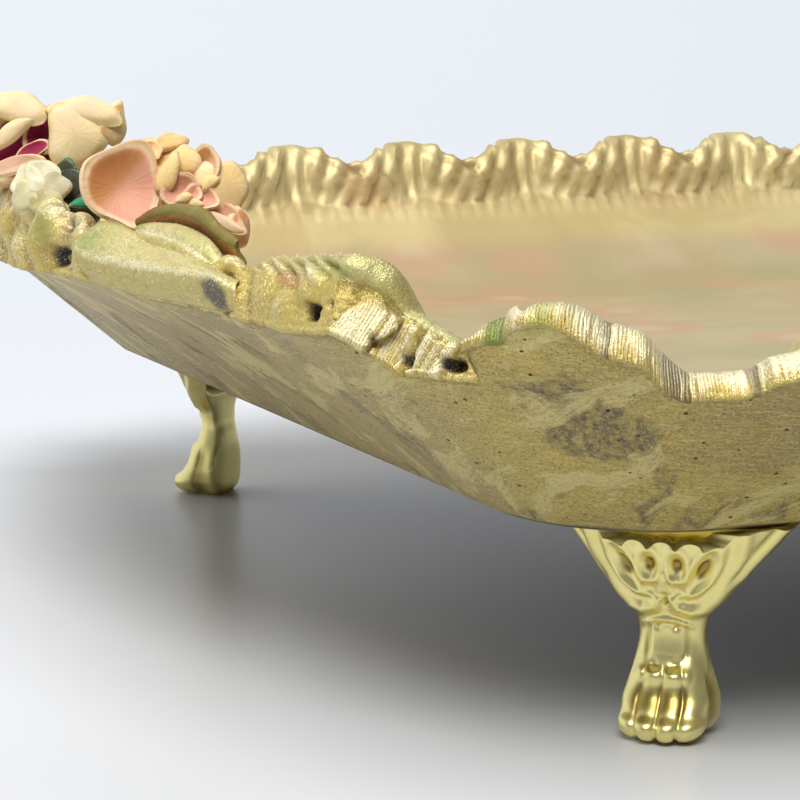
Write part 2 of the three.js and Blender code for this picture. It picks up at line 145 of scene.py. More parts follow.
def curve(knots, values, x):
    """A smooth curve through values at knots that never overshoots: cubic pieces, whose slope at a knot is the harmonic
    mean of the slopes beside it, or level at a turn."""
    knots, values = np.asarray(knots, float), np.asarray(values, float)
    rises = np.diff(values) / np.diff(knots)
    before, after = rises[:-1], rises[1:]
    turns = before * after <= 0
    middle = np.where(turns, 0, 2 * before * after / np.where(turns, 1, before + after))
    slopes = np.concatenate([rises[:1], middle, rises[-1:]])
    k = np.clip(np.searchsorted(knots, x) - 1, 0, len(knots) - 2)
    span = knots[k + 1] - knots[k]
    t = np.clip((x - knots[k]) / span, 0, 1)
    level = (1 - t) ** 2 * (1 + 2 * t) * values[k] + t * t * (3 - 2 * t) * values[k + 1]
    return level + span * ((1 - t) ** 2 * t * slopes[k] - t * t * (1 - t) * slopes[k + 1])


def stroll(count, step, rng):
    """A smooth random row of numbers between about -1 and 1, with a new value every step places."""
    knots = max(4, int(round(count / step)))
    values = rng.uniform(-1, 1, knots)
    place = np.arange(count) / count * knots
    k = np.floor(place).astype(int)
    t = place - k
    t = t * t * (3 - 2 * t)
    return values[k % knots] * (1 - t) + values[(k + 1) % knots] * t


def unit(vectors):
    """Vectors brought to length 1."""
    return vectors / np.maximum(np.linalg.norm(vectors, axis=-1, keepdims=True), 1e-9)


def turned(angle, first, second):
    """The matrix of a turn by an angle from the first axis towards the second."""
    turn = np.eye(3)
    turn[first, first] = turn[second, second] = math.cos(angle)
    turn[second, first], turn[first, second] = math.sin(angle), -math.sin(angle)
    return turn


def grid_normals(points, wrap_rows=False, wrap_cols=True):
    """Outward directions of a grid of points: column step crossed with row step."""
    def steps(axis, wrap):
        if wrap:
            return np.roll(points, -1, axis) - np.roll(points, 1, axis)
        return np.gradient(points, axis=axis)

    return unit(np.cross(steps(1, wrap_cols), steps(0, wrap_rows)))


def placed(name, data):
    """A new object in the scene."""
    made = bpy.data.objects.new(name, data)
    bpy.context.scene.collection.objects.link(made)
    return made


class Skin:
    """Points, faces and point values of one mesh, gathered grid by grid."""

    def __init__(self):
        self.points, self.quads, self.fans, self.values, self.count = [], [], [], {}, 0

    def add(self, points, flip=False, cap="fan", **values):
        """Adds a grid of rows by columns whose columns close in a ring. Faces point along column step crossed with row
        step, or the other way if flipped. The end rows are closed by a fan to their middle, or by a zip across a ring
        whose second half comes back along the first."""
        rows, cols = points.shape[:2]
        index = self.count + np.arange(rows * cols).reshape(rows, cols)
        low, high = index[:-1], index[1:]
        quads = [np.stack([low, np.roll(low, -1, 1), np.roll(high, -1, 1), high], -1).reshape(-1, 4)]
        fans = []
        flat = {key: np.broadcast_to(value, (rows, cols)).ravel() for key, value in values.items()}
        everything = [points.reshape(-1, 3)]
        for row, back in ((0, True), (rows - 1, False)):
            ring = index[row][::-1] if back else index[row]
            if cap == "zip":
                there, home = ring[:cols // 2], ring[::-1][:cols // 2]
                quads.append(np.stack([there[:-1], there[1:], home[1:], home[:-1]], -1))
                continue
            middle = self.count + sum(len(part) for part in everything)
            fans.append(np.stack([np.full(cols, middle), ring, np.roll(ring, -1)], -1))
            everything.append(points[row].mean(0, keepdims=True))
            flat = {key: np.append(value, value[row * cols:(row + 1) * cols].mean()) for key, value in flat.items()}
        turn = -1 if flip else 1
        self.quads += [faces[:, ::turn] for faces in quads]
        self.fans += [faces[:, ::turn] for faces in fans]
        for key, value in flat.items():
            self.values.setdefault(key, []).append(value)
        self.points.append(np.concatenate(everything))
        self.count += len(self.points[-1])
        return self

    def mesh(self, name):
        """The gathered faces as a smooth-shaded mesh in metres, with a float attribute for each value."""
        quads = np.concatenate(self.quads)
        fans = np.concatenate(self.fans) if self.fans else np.zeros((0, 3), int)
        corners = np.concatenate([quads.ravel(), fans.ravel()]).astype(np.int32)
        starts = np.concatenate([np.arange(len(quads)) * 4, len(quads) * 4 + np.arange(len(fans)) * 3])
        mesh = bpy.data.meshes.new(name)
        mesh.vertices.add(self.count)
        mesh.vertices.foreach_set("co", (np.concatenate(self.points) * MM).astype(np.float32).ravel())
        mesh.loops.add(len(corners))
        mesh.loops.foreach_set("vertex_index", corners)
        mesh.polygons.add(len(starts))
        mesh.polygons.foreach_set("loop_start", starts.astype(np.int32))
        mesh.polygons.foreach_set("use_smooth", np.ones(len(starts), bool))
        for key, value in self.values.items():
            layer = mesh.attributes.new(key, "FLOAT", "POINT")
            layer.data.foreach_set("value", np.concatenate(value).astype(np.float32))
        mesh.update(calc_edges=True)
        return mesh

    def piece(self, name, material, node, slot):
        """The mesh as a piece that stands for a node of the part."""
        made = placed(name, self.mesh(name))
        made.data.materials.append(material)
        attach(made, "root")
        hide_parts(node)
        return made


# The rim and walls


class Rim:
    """Plan and section of the casting at distances round its pitch line, anticlockwise from the +X end's middle.

    The base is a rounded rectangle. The wall rises from it along a slope, further where a lobe or leaf edge climbs;
    the edge is a band across the wall's thickness, then comes a carved crest, and then a curve down to the floor.
    Distances along the rim are taken from the crest of the corner lobe, towards the long side.
    """

    PITCH_LINE = 17
    FLOOR_INSET = 3
    COVE_RUN = 7
    HANDLE_BOW = 3.5
    HANDLE_FALL = 1.25
    CORNER_PLACES = (-131, -100, -89, -84, -73, -60, -52, -45, -38, -32.3, -27.5, -25.2, -24, -23.2, -21.9, -20.9,
                     -19.6, -16.4, -13.6, -10.2, -9.5, -9.1, -8.6, -7.6, -6.5, -5.2, -4.7, -4.3, -3.7, -3, -1.8, -0.7,
                     0.8, 2.1, 3, 3.7, 4.3, 5, 6.6, 7.6, 8.3, 8.9, 9.4, 10.7, 12.3, 14.7)
    CORNER_CLIMB = (11, 13, 13.4, 12.2, 10.4, 9.7, 9.1, 8.2, 8, 8.5, 9.5, 10.2, 9.2, 7.2, 4.9, 2.3,
                    1.2, 1.5, 1.6, 1.7, 2, 9.6, 10.6, 11.2, 11.8, 12, 12.6, 14, 15.1, 16, 16.7, 16.8,
                    15.5, 13.4, 11.9, 10.5, 9.7, 9.2, 8, 6.9, 4.9, 3, 1.4, -0.1, -1.3, -0.9)
    LOBE_PLACES = (0, 2, 3.3, 4.3, 5.2, 6.1, 7.3, 8.4, 9.3, 10.1, 12, 14.7)
    LOBE_CLIMB = (13, 12, 10, 7.6, 4.8, 3.5, 3, 2.4, 0.9, -0.2, -0.9, -0.9)
    BAND_PLACES = (-60, -33, -28, -25.5, -22, -20, -16.5, -14, -11, -9.65, -9.4, -8.2, -7, -6, -5, -3.5, -2.5, -1.6,
                   -0.4, 0.8, 2.3, 5.5, 7.3, 9.3, 11.4, 13.5, 18)
    BAND_ACROSS = (6.5, 5.8, 4.7, 5, 6.8, 7, 5.6, 4.5, 4.1, 3.8, 0.7, 0.8, 2.5, 3.4, 3.75, 3.4, 2, 2.9,
                   3.4, 4.2, 5, 5.3, 5.3, 5.9, 4.8, 4, 4.2)
    DRAWN_THICKNESS = 6
    # Where the carved ends begin and how far their band tips up the wall.
    END_BEGINS = (9.0, 10.2)
    END_TILT = 0.45
    CREST_PLACES = (-131, -108, -99, -95.5, -90, -60, -50.6, -46.4, -40.9, -33.4, -28.4, -24.8, -23.2, -22, -21.4,
                    -20.8, -18, -15.7, -13.5, -9.5)
    CREST_LEVELS = (75.5, 76, 75, 72.5, 71.5, 71, 70.9, 72.2, 72.7, 74.2, 74.9, 75.5, 74.8, 73.4, 70.5,
                    67.7, 66.1, 65.2, 64.1, 63)
    # Where the crest of the sides begins, its level at the lobes, and how far it dips between them.
    SIDE_BEGINS = (24.5, 29)
    SIDE_CREST = 71.2
    SIDE_DIP = 3.4
    CREST_WAY = (-8.0, -4.0)

    def __init__(self, travel, sizes):
        mm = {key: getattr(sizes, key) / MM for key in (
            "base_half_x", "base_half_y", "base_corner", "underside", "floor_thickness", "rim_rise", "side_flare",
            "end_flare", "handle_bulge", "edge_thickness", "lobe_climb", "corner_climb")}
        self.mm = mm
        corner = mm["base_corner"]
        end_run, side_run = mm["base_half_y"] - corner, mm["base_half_x"] - corner
        corner_run = (corner + self.PITCH_LINE) * math.pi / 2
        self.quarter = end_run + corner_run + side_run
        self.pitch = side_run / sizes.lobes
        self.corner_crest = end_run + corner_run - self.pitch
        lap = np.mod(travel, 4 * self.quarter)
        part = np.floor(lap / self.quarter).astype(int) % 4
        run = lap - part * self.quarter
        run = np.where(part % 2 == 1, self.quarter - run, run)
        self.run = run
        sign = np.stack([np.where((part == 0) | (part == 3), 1.0, -1.0), np.where(part < 2, 1.0, -1.0)], -1)
        turn = np.clip((run - end_run) / (corner + self.PITCH_LINE), 0, math.pi / 2)
        out = np.stack([np.cos(turn), np.sin(turn)], -1)
        base = np.array([side_run, end_run]) + corner * out
        base[..., 0] -= np.maximum(0, run - end_run - corner_run)
        base[..., 1] -= np.maximum(0, end_run - run)
        self.base, self.out = base * sign, out * sign
        self.handle = np.cos(math.pi / 2 * np.clip(run / end_run, 0, 1)) ** self.HANDLE_FALL
        flare = mm["end_flare"] * out[..., 0] ** 2 + mm["side_flare"] * out[..., 1] ** 2
        flare += mm["handle_bulge"] * self.handle
        self.length = np.hypot(flare, mm["rim_rise"])
        self.along = np.stack([flare, np.full_like(flare, mm["rim_rise"])], -1) / self.length[..., None]
        self.inwards = np.stack([-self.along[..., 1], self.along[..., 0]], -1)
        self.scallop()

    def scallop(self):
        """How far the edge climbs, how the band across it stands, and how high the carved crest behind it rises: to
        its own levels in the tall leaf beside the corner, and along the sides to one level with dips between the lobes.
        Behind a lobe the crest reaches further in and peaks later, so that its inner foot runs even."""
        mm = self.mm
        self.place = self.run - self.corner_crest
        pitches = self.place / self.pitch
        self.off = np.abs(pitches - np.round(pitches)) * self.pitch
        lobes = curve(self.LOBE_PLACES, self.LOBE_CLIMB, self.off) * mm["lobe_climb"] / max(self.LOBE_CLIMB)
        corner = curve(self.CORNER_PLACES, self.CORNER_CLIMB, self.place) * mm["corner_climb"] / max(self.CORNER_CLIMB)
        self.climb = np.where(pitches > 0.5, lobes, corner)
        self.end = smooth(*self.END_BEGINS, -self.place)
        across = curve(self.BAND_PLACES, self.BAND_ACROSS, self.place)
        self.thick = mm["edge_thickness"] / self.DRAWN_THICKNESS * across
        self.edge_way = unit(self.inwards + self.END_TILT * self.end[..., None] * self.along)
        brink = mm["underside"] + mm["rim_rise"] + self.climb * self.along[..., 1] + self.thick * self.edge_way[..., 1]
        tall = np.maximum(curve(self.CREST_PLACES, self.CREST_LEVELS, self.place) - brink + 2, 1.0)
        self.fill = smooth(*self.SIDE_BEGINS, self.place)
        lobe = self.fill * (self.climb - 2)
        self.crest_way = np.array(self.CREST_WAY) - 0.75 * lobe[..., None] * self.along
        self.crest_bias = 1 + 1.1 * np.clip(lobe / 11, 0, 1)
        drop = -self.crest_way[..., 1] * 0.5 ** (1 / self.crest_bias)
        level = self.SIDE_CREST - self.SIDE_DIP * np.sin(math.pi * self.off / self.pitch) ** 4
        between = np.maximum(level - brink + drop, 0.5)
        self.relief = np.where(self.place < -self.END_BEGINS[0], tall * self.end, self.fill * between)

    def section(self, p):
        """Outward distance and height at section places p: 0 to 1 up the outer wall, 1 to 2 across the edge, 2 to
        3 over the crest, 3 to 4 down the inner wall to the floor."""
        mm = self.mm
        share = np.clip(p, 0, 1)
        foot = np.array([0, mm["underside"]])
        reach = (share * (self.length + self.climb))[..., None]
        bow = (self.HANDLE_BOW * self.handle * 4 * share * (1 - share))[..., None]
        wall = foot + self.along * reach + self.inwards * bow
        edge = foot + self.along * (self.length + self.climb)[..., None]
        band = edge + self.edge_way * (self.thick * np.clip(p - 1, 0, 1))[..., None]
        brink = edge + self.edge_way * self.thick[..., None]
        crest_share = np.clip(p - 2, 0, 1)
        inner = brink + self.crest_way
        lift = self.relief * np.sin(math.pi * crest_share ** self.crest_bias) ** 0.75
        crest = brink + (inner - brink) * crest_share[..., None] + np.stack([np.zeros_like(lift), lift], -1)
        t = np.clip(p - 3, 0, 1)[..., None]
        floor = mm["underside"] + mm["floor_thickness"]
        bend = np.array([-self.FLOOR_INSET, floor])
        floor_edge = np.array([-self.FLOOR_INSET - self.COVE_RUN, floor])
        slope = (1 - t) ** 2 * inner + 2 * t * (1 - t) * bend + t * t * floor_edge
        p = p[..., None]
        return np.where(p <= 1, wall, np.where(p <= 2, band, np.where(p <= 3, crest, slope)))

    def lift(self, flat):
        """Points of the tray from outward distances and heights."""
        plan = self.base + self.out * flat[..., :1]
        return np.concatenate([plan, np.broadcast_to(flat[..., 1:], plan[..., :1].shape)], -1)

    def edge(self):
        """The rim's outer edge, and there the ways up the wall's slope and across the edge."""
        edge = self.lift(self.section(np.full(self.run.shape, 1.0)))
        ways = [np.concatenate([self.out * way[..., :1], way[..., 1:]], -1) for way in (self.along, self.edge_way)]
        return edge, ways[0], ways[1]


FINE_STEPS = 20000
CASTING_COLUMNS = 1300
BAND_COLUMNS = 4600
END_COLUMNS = 1500
RIB_TONES = 997
FLUTE_POINT = 51
FLUTES_PER_RADIAN = 21
KNOB_PITCH = 4.6
CHIP_PITCH = 4.9
CHIP_RISE = 4.7
BEAD_PITCH = 3.4


def inner_carving(rim, p, level):
    """Height of the carving inside the sides: each lobe is a shell, a dome with flutes that fan out from a point below
    it and fade towards the crest. Knobs stand between the shells, waves run over both and a beaded moulding below."""
    inside = smooth(2.1 + 0.3 * (1 - rim.fill), 2.5 + 0.4 * (1 - rim.fill), p)
    cover = inside * smooth(57.5, 61, level)
    shell = 1 - (2 * rim.off / rim.pitch) ** 2
    fan = np.arctan2(rim.off, np.maximum(level - FLUTE_POINT, 1))
    flutes = 0.55 * np.cos(FLUTES_PER_RADIAN * fan) * smooth(72, 66, level)
    knobs = 1.2 * bell((rim.off - rim.pitch / 2) / 2.4) * (0.5 + 0.5 * np.cos(TURN * (level - 60) / KNOB_PITCH))
    chips = 0.75 * np.cos(TURN * rim.run / CHIP_PITCH + level / 1.7) * np.cos(TURN * level / CHIP_RISE)
    moulding = 0.9 * bell((level - 57.2) / 0.9) * (0.7 + 0.3 * np.cos(TURN * rim.run / BEAD_PITCH))
    return cover * (1 - rim.end) * (shell + flutes + knobs + chips) + inside * moulding


def casting_skin(sizes):
    """The casting: rings of the section from the middle of the underside over the rim to the middle of the floor. Its
    edge is drawn in a little under the band and the carved ends."""
    even = np.arange(FINE_STEPS) / FINE_STEPS * 4 * Rim(np.zeros(1), sizes).quarter
    weight = np.cumsum(1 + 3 * hump(Rim(even, sizes).place / 30))
    shares = np.arange(CASTING_COLUMNS) / CASTING_COLUMNS
    rim = Rim(np.interp(shares * weight[-1], weight, even), sizes)
    outer = np.linspace(0.04, 1, 12)
    crest = np.linspace(2.06, 3, 17)
    inner = 3 + np.linspace(0, 1, 34)[1:] ** 0.9
    places = np.concatenate([outer, [1.3, 1.7, 2], crest, inner])[:, None] * np.ones(CASTING_COLUMNS)
    flat = rim.section(places)
    points = rim.lift(flat)
    carve = inner_carving(rim, places, flat[..., 1])
    sink = rim.end * smooth(1.0, 1.3, places) * smooth(3.3, 3.0, places) * 2.6
    points = points + grid_normals(points) * (carve - sink)[..., None]
    under = rim.mm["underside"]
    base_rings = [rim.lift(np.broadcast_to(np.array([inset, height]), (CASTING_COLUMNS, 2)))[None]
                  for inset, height in ((-40, under), (-1.6, under), (-0.5, under + 0.35))]
    floor_rings = [points[-1:] * np.array([share, share, 1]) for share in (0.75, 0.35)]

    def filled(grid, first, last):
        below, inside = (len(base_rings), CASTING_COLUMNS), (len(floor_rings), CASTING_COLUMNS)
        return np.concatenate([np.full(below, first), grid, np.full(inside, last)])

    smear = hump((rim.place - 1) / 13) * hump((places - 0.66) / 0.42)
    run = rim.run * MM * np.ones_like(places)
    return Skin().add(np.concatenate(base_rings + [points] + floor_rings), carve=filled(carve, 0, 0),
                      place=filled(places, 0, 4.5), smear=filled(smear, 0, 0), run=filled(run, 0, 0))


def strip_skin(face, sunk, **values):
    """A closed strip along the rim from rows of its face and rows sunk under it. A value that differs from row to row
    is 0 in the sunk rows, and the rib's is -1."""
    loop = np.concatenate([face, sunk])
    grids = {}
    for key, value in values.items():
        grid = np.full(loop.shape[:2], -1.0 if key == "rib" else 0.0)
        grid[:len(face) if np.ndim(value) == 2 else None] = value
        grids[key] = grid.T
    return Skin().add(np.swapaxes(loop, 0, 1), flip=True, **grids)


def band_skin(sizes, side):
    """The ribbed edge of one long side, from corner to corner: a closed strip over the wall's thickness. Its face is
    crowned, with fine uneven ribs across it, a rough bead along its lower edge and small folds."""
    rng = np.random.default_rng(SEED + (side == "back"))
    probe = Rim(np.zeros(1), sizes)
    reach = probe.quarter - probe.corner_crest + 9.35
    middle = probe.quarter * (1 if side == "back" else 3)
    columns = BAND_COLUMNS
    rim = Rim(middle + np.linspace(-reach, reach, columns), sizes)
    edge, along, across_way = rim.edge()
    steps = np.linalg.norm(np.diff(edge, axis=0), axis=-1)
    travel = np.concatenate([[0], np.cumsum(steps)])
    phase = TURN * (travel + 0.35 * stroll(columns, 26, rng)) / (sizes.rib_pitch / MM)
    strength = np.clip(0.65 + 0.6 * stroll(columns, 40, rng), 0.1, 1.2)
    wobble = stroll(columns, 21, rng)
    across = np.linspace(0, 1, 13)[:, None] ** 1.15
    bead = 0.22 * (1 + 0.9 * stroll(columns, 7, rng)) * bell((across - 0.03) / 0.035)
    crown = 0.8 * (1 - (2 * across - 1) ** 2) ** 0.6 + bead
    split = 0.5 * np.sin(1.73 * phase + 3 * wobble) * stroll(columns, 25, rng)
    shear = 1.6 * across * wobble + 1.2 * np.sin(5 * across + 9 * wobble)
    rib = (np.sin(phase + shear) * strength + split) * smooth(0.0, 0.07, across) * smooth(1.02, 0.7, across)
    own = rng.uniform(-1, 1, RIB_TONES)[np.floor((phase + shear) / TURN).astype(int) % RIB_TONES]
    fold = 0.55 * hump((rim.place - 4.3) / 0.8) + 0.4 * hump((rim.place - 19.3) / 0.8)
    fold = fold + 0.35 * hump((rim.off - 5.6) / 0.9) * (rim.place > 24)
    height = crown + 0.13 * rib + 0.10 * own + 0.14 * wobble * smooth(0, 0.2, across) - fold * smooth(0.1, 0.5, across)
    face = edge + across_way * (across * (rim.thick + 0.5) - 0.3)[..., None] + along * height[..., None]
    sunk = [edge + across_way * (rim.thick * share)[:, None] - along * 1.8 for share in (0.95, 0.08)]
    smudge = hump((rim.place - 4.3) / 1.0) + hump((rim.place - 11.2) / 3.8) + hump((rim.place - 19.3) / 0.9)
    smudge = smudge + 0.8 * hump((rim.off - 10) / 4) * (rim.place > 24)
    green = hump((rim.place + 5.6) / 2.6) + 0.75 * hump((rim.place + 0.8) / 2.0)
    return strip_skin(face, np.stack(sunk), rib=rib, own=own, pit=0, smudge=smudge, across=across * np.ones(columns),
                      green=green, rust=0)


# Pits and lumps of the carved ends: place along the rim, place in the section, half of each, depth or height.
PITS = (
    (-29.3, 1.6, 2.2, 0.36, 4.0),
    (-25.8, 1.78, 0.8, 0.2, 1.2),
    (-22.0, 1.32, 0.5, 0.16, 1.3),
    (-18.7, 1.28, 1.1, 0.22, 2.0),
    (-12.8, 1.42, 1.8, 0.28, 3.6),
    (-15.6, 2.06, 0.6, 0.14, 0.9),
    (-97.9, 1.43, 5.2, 0.38, 3.4),
    (-97.5, 2.2, 3.2, 0.18, 2.2),
    (-129.5, 1.4, 1.8, 0.5, 2.2),
)
LUMPS = (
    (-35.5, 1.5, 4.2, 0.7, 1.7),
    (-42, 1.75, 5.0, 0.8, 1.6),
    (-30.6, 2.0, 3.2, 0.45, 1.5),
    (-47.5, 1.4, 3.0, 0.6, 1.2),
    (-106, 1.75, 7, 0.8, 2.0),
    (-117, 1.5, 6, 0.7, 1.6),
    (-124, 2.0, 5, 0.7, 1.8),
    (-96, 2.3, 2.4, 0.25, 1.2),
)
# Where each ribbed block begins and ends along the rim.
BLOCKS = ((-24.9, -22.25), (-22.0, -19.1), (-18.8, -13.6))


def humps(table, along, across):
    """Sum of round humps at places along and across the rim."""
    return sum(tall * hump((along - place) / half) * hump((across - level) / half_level)
               for place, level, half, half_level, tall in table)


def end_skin(sizes, end):
    """The carved edge of one end, from corner to corner: slanted ribbed blocks that overlap like tiles, pits between
    them, a domed leaf behind them with ridges that slant down towards the corner, and rounded knots further along."""
    probe = Rim(np.zeros(1), sizes)
    reach = probe.corner_crest - 9.55
    columns = END_COLUMNS
    rng = np.random.default_rng(SEED + 5)
    even = np.linspace(-1, 1, FINE_STEPS)
    start = 2 * probe.quarter if end == "left" else 0
    weight = np.cumsum(1 + 2.5 * smooth(-50, -35, Rim(start + reach * even, sizes).place))
    rim = Rim(start + reach * np.interp(np.linspace(weight[0], weight[-1], columns), weight, even), sizes)
    rows = np.concatenate([np.linspace(0.985, 2, 26), np.linspace(2, 3, 30)[1:]])[:, None]
    points = rim.lift(rim.section(rows * np.ones(columns)))
    normal = grid_normals(points, wrap_cols=False)
    on_band = smooth(0.985, 1.08, rows) * smooth(2.08, 1.96, rows)
    d = rim.place
    travel = np.cumsum(np.linalg.norm(np.gradient(rim.edge()[0], axis=0), axis=-1))
    from_middle = np.abs(travel - travel.mean())
    slanted = TURN * (from_middle - 2.4 * (rows - 1)) / (sizes.rib_pitch / MM)
    rib = np.sin(slanted) * np.clip(0.8 + 0.4 * stroll(columns, 30, rng), 0.3, 1)
    own = rng.uniform(-1, 1, RIB_TONES)[np.floor(slanted / TURN).astype(int) % RIB_TONES]
    tiles, ribbed = np.zeros((2, len(rows), columns))
    for left, right in BLOCKS:
        share = (d - 2.0 * (rows - 1.15) - left) / (right - left)
        block = smooth(-0.02, 0.03, share) * smooth(1.04, 0.97, share)
        block = block * smooth(1.0, 1.07, rows) * smooth(2.06, 1.98, rows)
        tiles += block * (0.1 + 2.0 * np.clip(share, 0, 1))
        ribbed += block
    height = tiles + (0.2 * rib + 0.1 * own) * ribbed
    bulges = humps(LUMPS, d, rows)
    leaf = smooth(2.02, 2.12, rows) * smooth(3.0, 2.7, rows)
    tall_leaf = smooth(-50, -44, d) * smooth(-20.6, -21.6, d)
    slope = rows - 2 + 0.027 * (d + 30)
    ridges = 0.8 * np.cos(TURN * slope / 0.125) * smooth(-25, -28.5, d)
    hollow = hump((slope - 0.27) / 0.075) * smooth(-32, -29, d) * smooth(-22.5, -25, d)
    dome = hump((d + 23.6) / 3.6) * hump((rows - 2.22) / 0.32)
    fine = 0.05 * np.sin(TURN * (slope * 22 + 0.5 * d))
    height = height + leaf * tall_leaf * (ridges + dome + fine - 0.9 * hollow)
    further = smooth(-46, -50, d)
    scroll = 0.8 * np.cos(TURN * (d / 13 + 0.9 * (rows - 2))) + 0.35 * np.cos(TURN * (d / 4.1 - 1.6 * rows))
    swells = np.cos(TURN * (d / 8.5 + 0.35 * rows))
    height = height + leaf * further * scroll + on_band * further * 0.4 * swells
    crumbs = 0.12 * np.sin(2.1 * d + 9 * rows) * np.sin(3.7 * d - 17 * rows + 4 * stroll(columns, 40, rng))
    height = height + bulges + crumbs * (1 - ribbed)
    pit = humps(PITS, d, rows)
    step = 0.6 * bell((rows - 2.06) / 0.045) * smooth(-27, -25, d)
    bead = 0.25 * bell((rows - 1.04) / 0.05) * (1 + 0.8 * stroll(columns, 6, rng))
    height = (height + bead - pit - step) * smooth(-9.6, -10.4, d)
    # Painted shade: places lower than their neighbours, and the dips between the knots, lower the rib value, which
    # darkens them like the grooves.
    around = np.mean([np.roll(height, (r, c), (0, 1)) for r in (-3, 0, 3) for c in (-16, -8, 0, 8, 16)], 0)
    cavity_shade = smooth(0.04, 0.45, around - height) * (1 - ribbed)
    under = [np.searchsorted(rows[:, 0], 2.4), 6]
    rust = 0.7 * hump((rows - 2.42) / 0.12) * smooth(-25, -22.6, d) * smooth(-19, -21, d)
    rust = rust + 0.9 * hump((d + 36) / 8) * hump((rows - 2.05) / 0.2)
    rust = rust + 0.8 * hump((d + 22.7) / 1.3) * hump((rows - 1.97) / 0.1)
    green = leaf * (0.5 * smooth(-48, -36, d) + 0.3 * hollow - 0.3 * tall_leaf * ridges)
    green = green + 0.75 * hump((d + 104) / 8) * hump((rows - 1.9) / 0.45)
    knots = smooth(-90, -96, d) * (0.5 - 0.5 * swells)
    # The across value lifts lumps and the leaf towards the painted top highlight; the pit value carries painted shade
    # under the step and in the leaf's groove.
    return strip_skin(points + normal * height[..., None], points[under] - normal[under] * 3.4,
                      rib=rib * ribbed + 0.3 * (1 - ribbed) - cavity_shade - 0.7 * knots, own=own * ribbed,
                      pit=pit + 0.8 * step + 0.5 * hollow,
                      across=np.maximum(0.34 * ribbed, 0.02 + 0.08 * bulges + 0.30 * leaf),
                      smudge=0, green=green, rust=rust)


# The feet


FOOT_LEVELS = (0, 1.5, 3.2, 5.6, 8.4, 11.8, 15.3, 18.5, 20, 22.2, 25.7, 29, 33)
FOOT_HALF = (5.7, 6.4, 7.3, 7.5, 6.8, 5.7, 5.15, 5.6, 6.6, 9.0, 11.7, 14.6, 18)
FRONT_LEVELS = (0, 1.4, 2.5, 4.5, 7, 9.9, 13, 16.5, 20.5, 26.7, 33)
FOOT_FRONT = (7.6, 9.5, 9.8, 8.6, 6.9, 5.9, 4.4, 3.9, 4.5, 6.6, 8.4)
FOOT_BACK = (1.4, 1.9, 2.0, 2.0, 2.2, 2.4, 2.1, 1.4, 1.2, 2.4, 4.0)
FOOT_ROWS = 200
FOOT_COLUMNS = 230
SQUARENESS = 2.6
FAN_LEVEL = 20.5
WING_SWEEP = 2.5
FAN_SHELL = 2.2
TOE_PLACES = (-5.2, -1.75, 1.75, 5.2)
TOE_SPREAD = 7.4
STEM = ((12.6, 33.5), (11.4, 29), (9.7, 25.7), (7.4, 22.2), (5.5, 20.3), (3.6, 19.8), (1.9, 20.4), (1.1, 21.5))
INNER_STEM = ((9.3, 31), (8.3, 28), (6.6, 24.8), (4.6, 22.8), (2.4, 22.4))
# Looped petals on each half of the fan: place across, level, lean, half length, half width.
PALMETTE = ((2.15, 27.2, 0.0, 2.5, 1.75), (6.1, 26.8, 0.58, 4.3, 1.7))
# Rings of the plate: how far below the top and how far drawn in.
PLATE_RINGS = ((2.6, 0.25), (2.5, 0.15), (0.1, 0.15), (0.0, 0.25))
PLATE_STEPS = 30
PLATE_SHARE = 0.84
PLATE_BACK = 3.6
# Radius and height of a screw's rings, from the top of its head.
SCREW_HEAD = 1.7
SCREW_RINGS = ((0.2, -SCREW_HEAD), (0.6, -SCREW_HEAD), (1.0, -1.66), (1.5, -1.5), (2.0, -1.1), (2.3, -0.5), (2.3, 0.0),
               (1.2, 0.02), (1.2, 4.8), (0.6, 6.0))
SCREW_COLUMNS = 48


def from_path(x, y, path):
    """Distance of points from a path of straight pieces."""
    best = np.full(np.broadcast(x, y).shape, 1e9)
    for (ax, ay), (bx, by) in zip(path[:-1], path[1:]):
        px, py = bx - ax, by - ay
        t = np.clip(((x - ax) * px + (y - ay) * py) / (px * px + py * py), 0, 1)
        best = np.minimum(best, np.hypot(x - ax - t * px, y - ay - t * py))
    return best


def foot_relief(side, level, half):
    """Carving on a foot's front: ball-tipped toes with knuckles, a panel up the ankle, stems that run down the fan's
    edges and curl together in the middle, and a palmette of four looped petals between them."""
    reach = np.abs(side)
    toe = side * TOE_SPREAD / half
    toes = np.max([np.sqrt(np.clip(1 - ((toe - place) / 1.8) ** 2, 0, 1)) for place in TOE_PLACES], 0)
    relief = 0.7 * (toes - 0.6) * smooth(11.5, 8.5, level)
    relief += toes * (0.55 * bell((level - 9.9) / 1.0) * smooth(4.5, 3, reach) + 0.8 * bell((level - 2.3) / 1.3))
    relief -= 0.25 * bell(np.hypot(reach - 1.7, level - 11.5) / 0.7)
    ankle = smooth(11.2, 13.5, level) * smooth(17.8, 16.8, level)
    relief += ankle * (0.16 * smooth(3.0, 1.9, reach) - 0.28 * bell((reach - 3.0) / 0.55))
    relief += 0.4 * bell((level - 18.3 + 0.07 * side ** 2) / 0.5) * smooth(4.4, 3.4, reach)
    relief -= 0.45 * bell(np.hypot(reach - 1.5, level - 17.2) / 0.5)
    relief += 0.95 * bell(from_path(reach, level, STEM) / 1.05)
    relief += 0.4 * bell(from_path(reach, level, INNER_STEM) / 0.5)
    relief -= 0.8 * bell(np.hypot(side, level - 21.3) / 0.6)
    edge = half - reach
    relief += smooth(23, 26, level) * (0.5 * bell((edge - 0.6) / 0.6) - 0.35 * bell((edge - 1.7) / 0.5))
    for x, z, lean, long, wide in PALMETTE:
        up = (level - z) * math.cos(lean) + (reach - x) * math.sin(lean)
        over = (reach - x) * math.cos(lean) - (level - z) * math.sin(lean)
        ring = np.hypot(up / long, over / wide)
        relief += 0.62 * bell((ring - 1) / 0.26) - 0.75 * smooth(0.75, 0.2, ring) + 0.25 * bell((ring - 0.45) / 0.16)
    relief += 0.45 * smooth(1.9, 0.9, reach) * smooth(22.2, 23.2, level) * smooth(26.0, 24.6, level)
    return relief


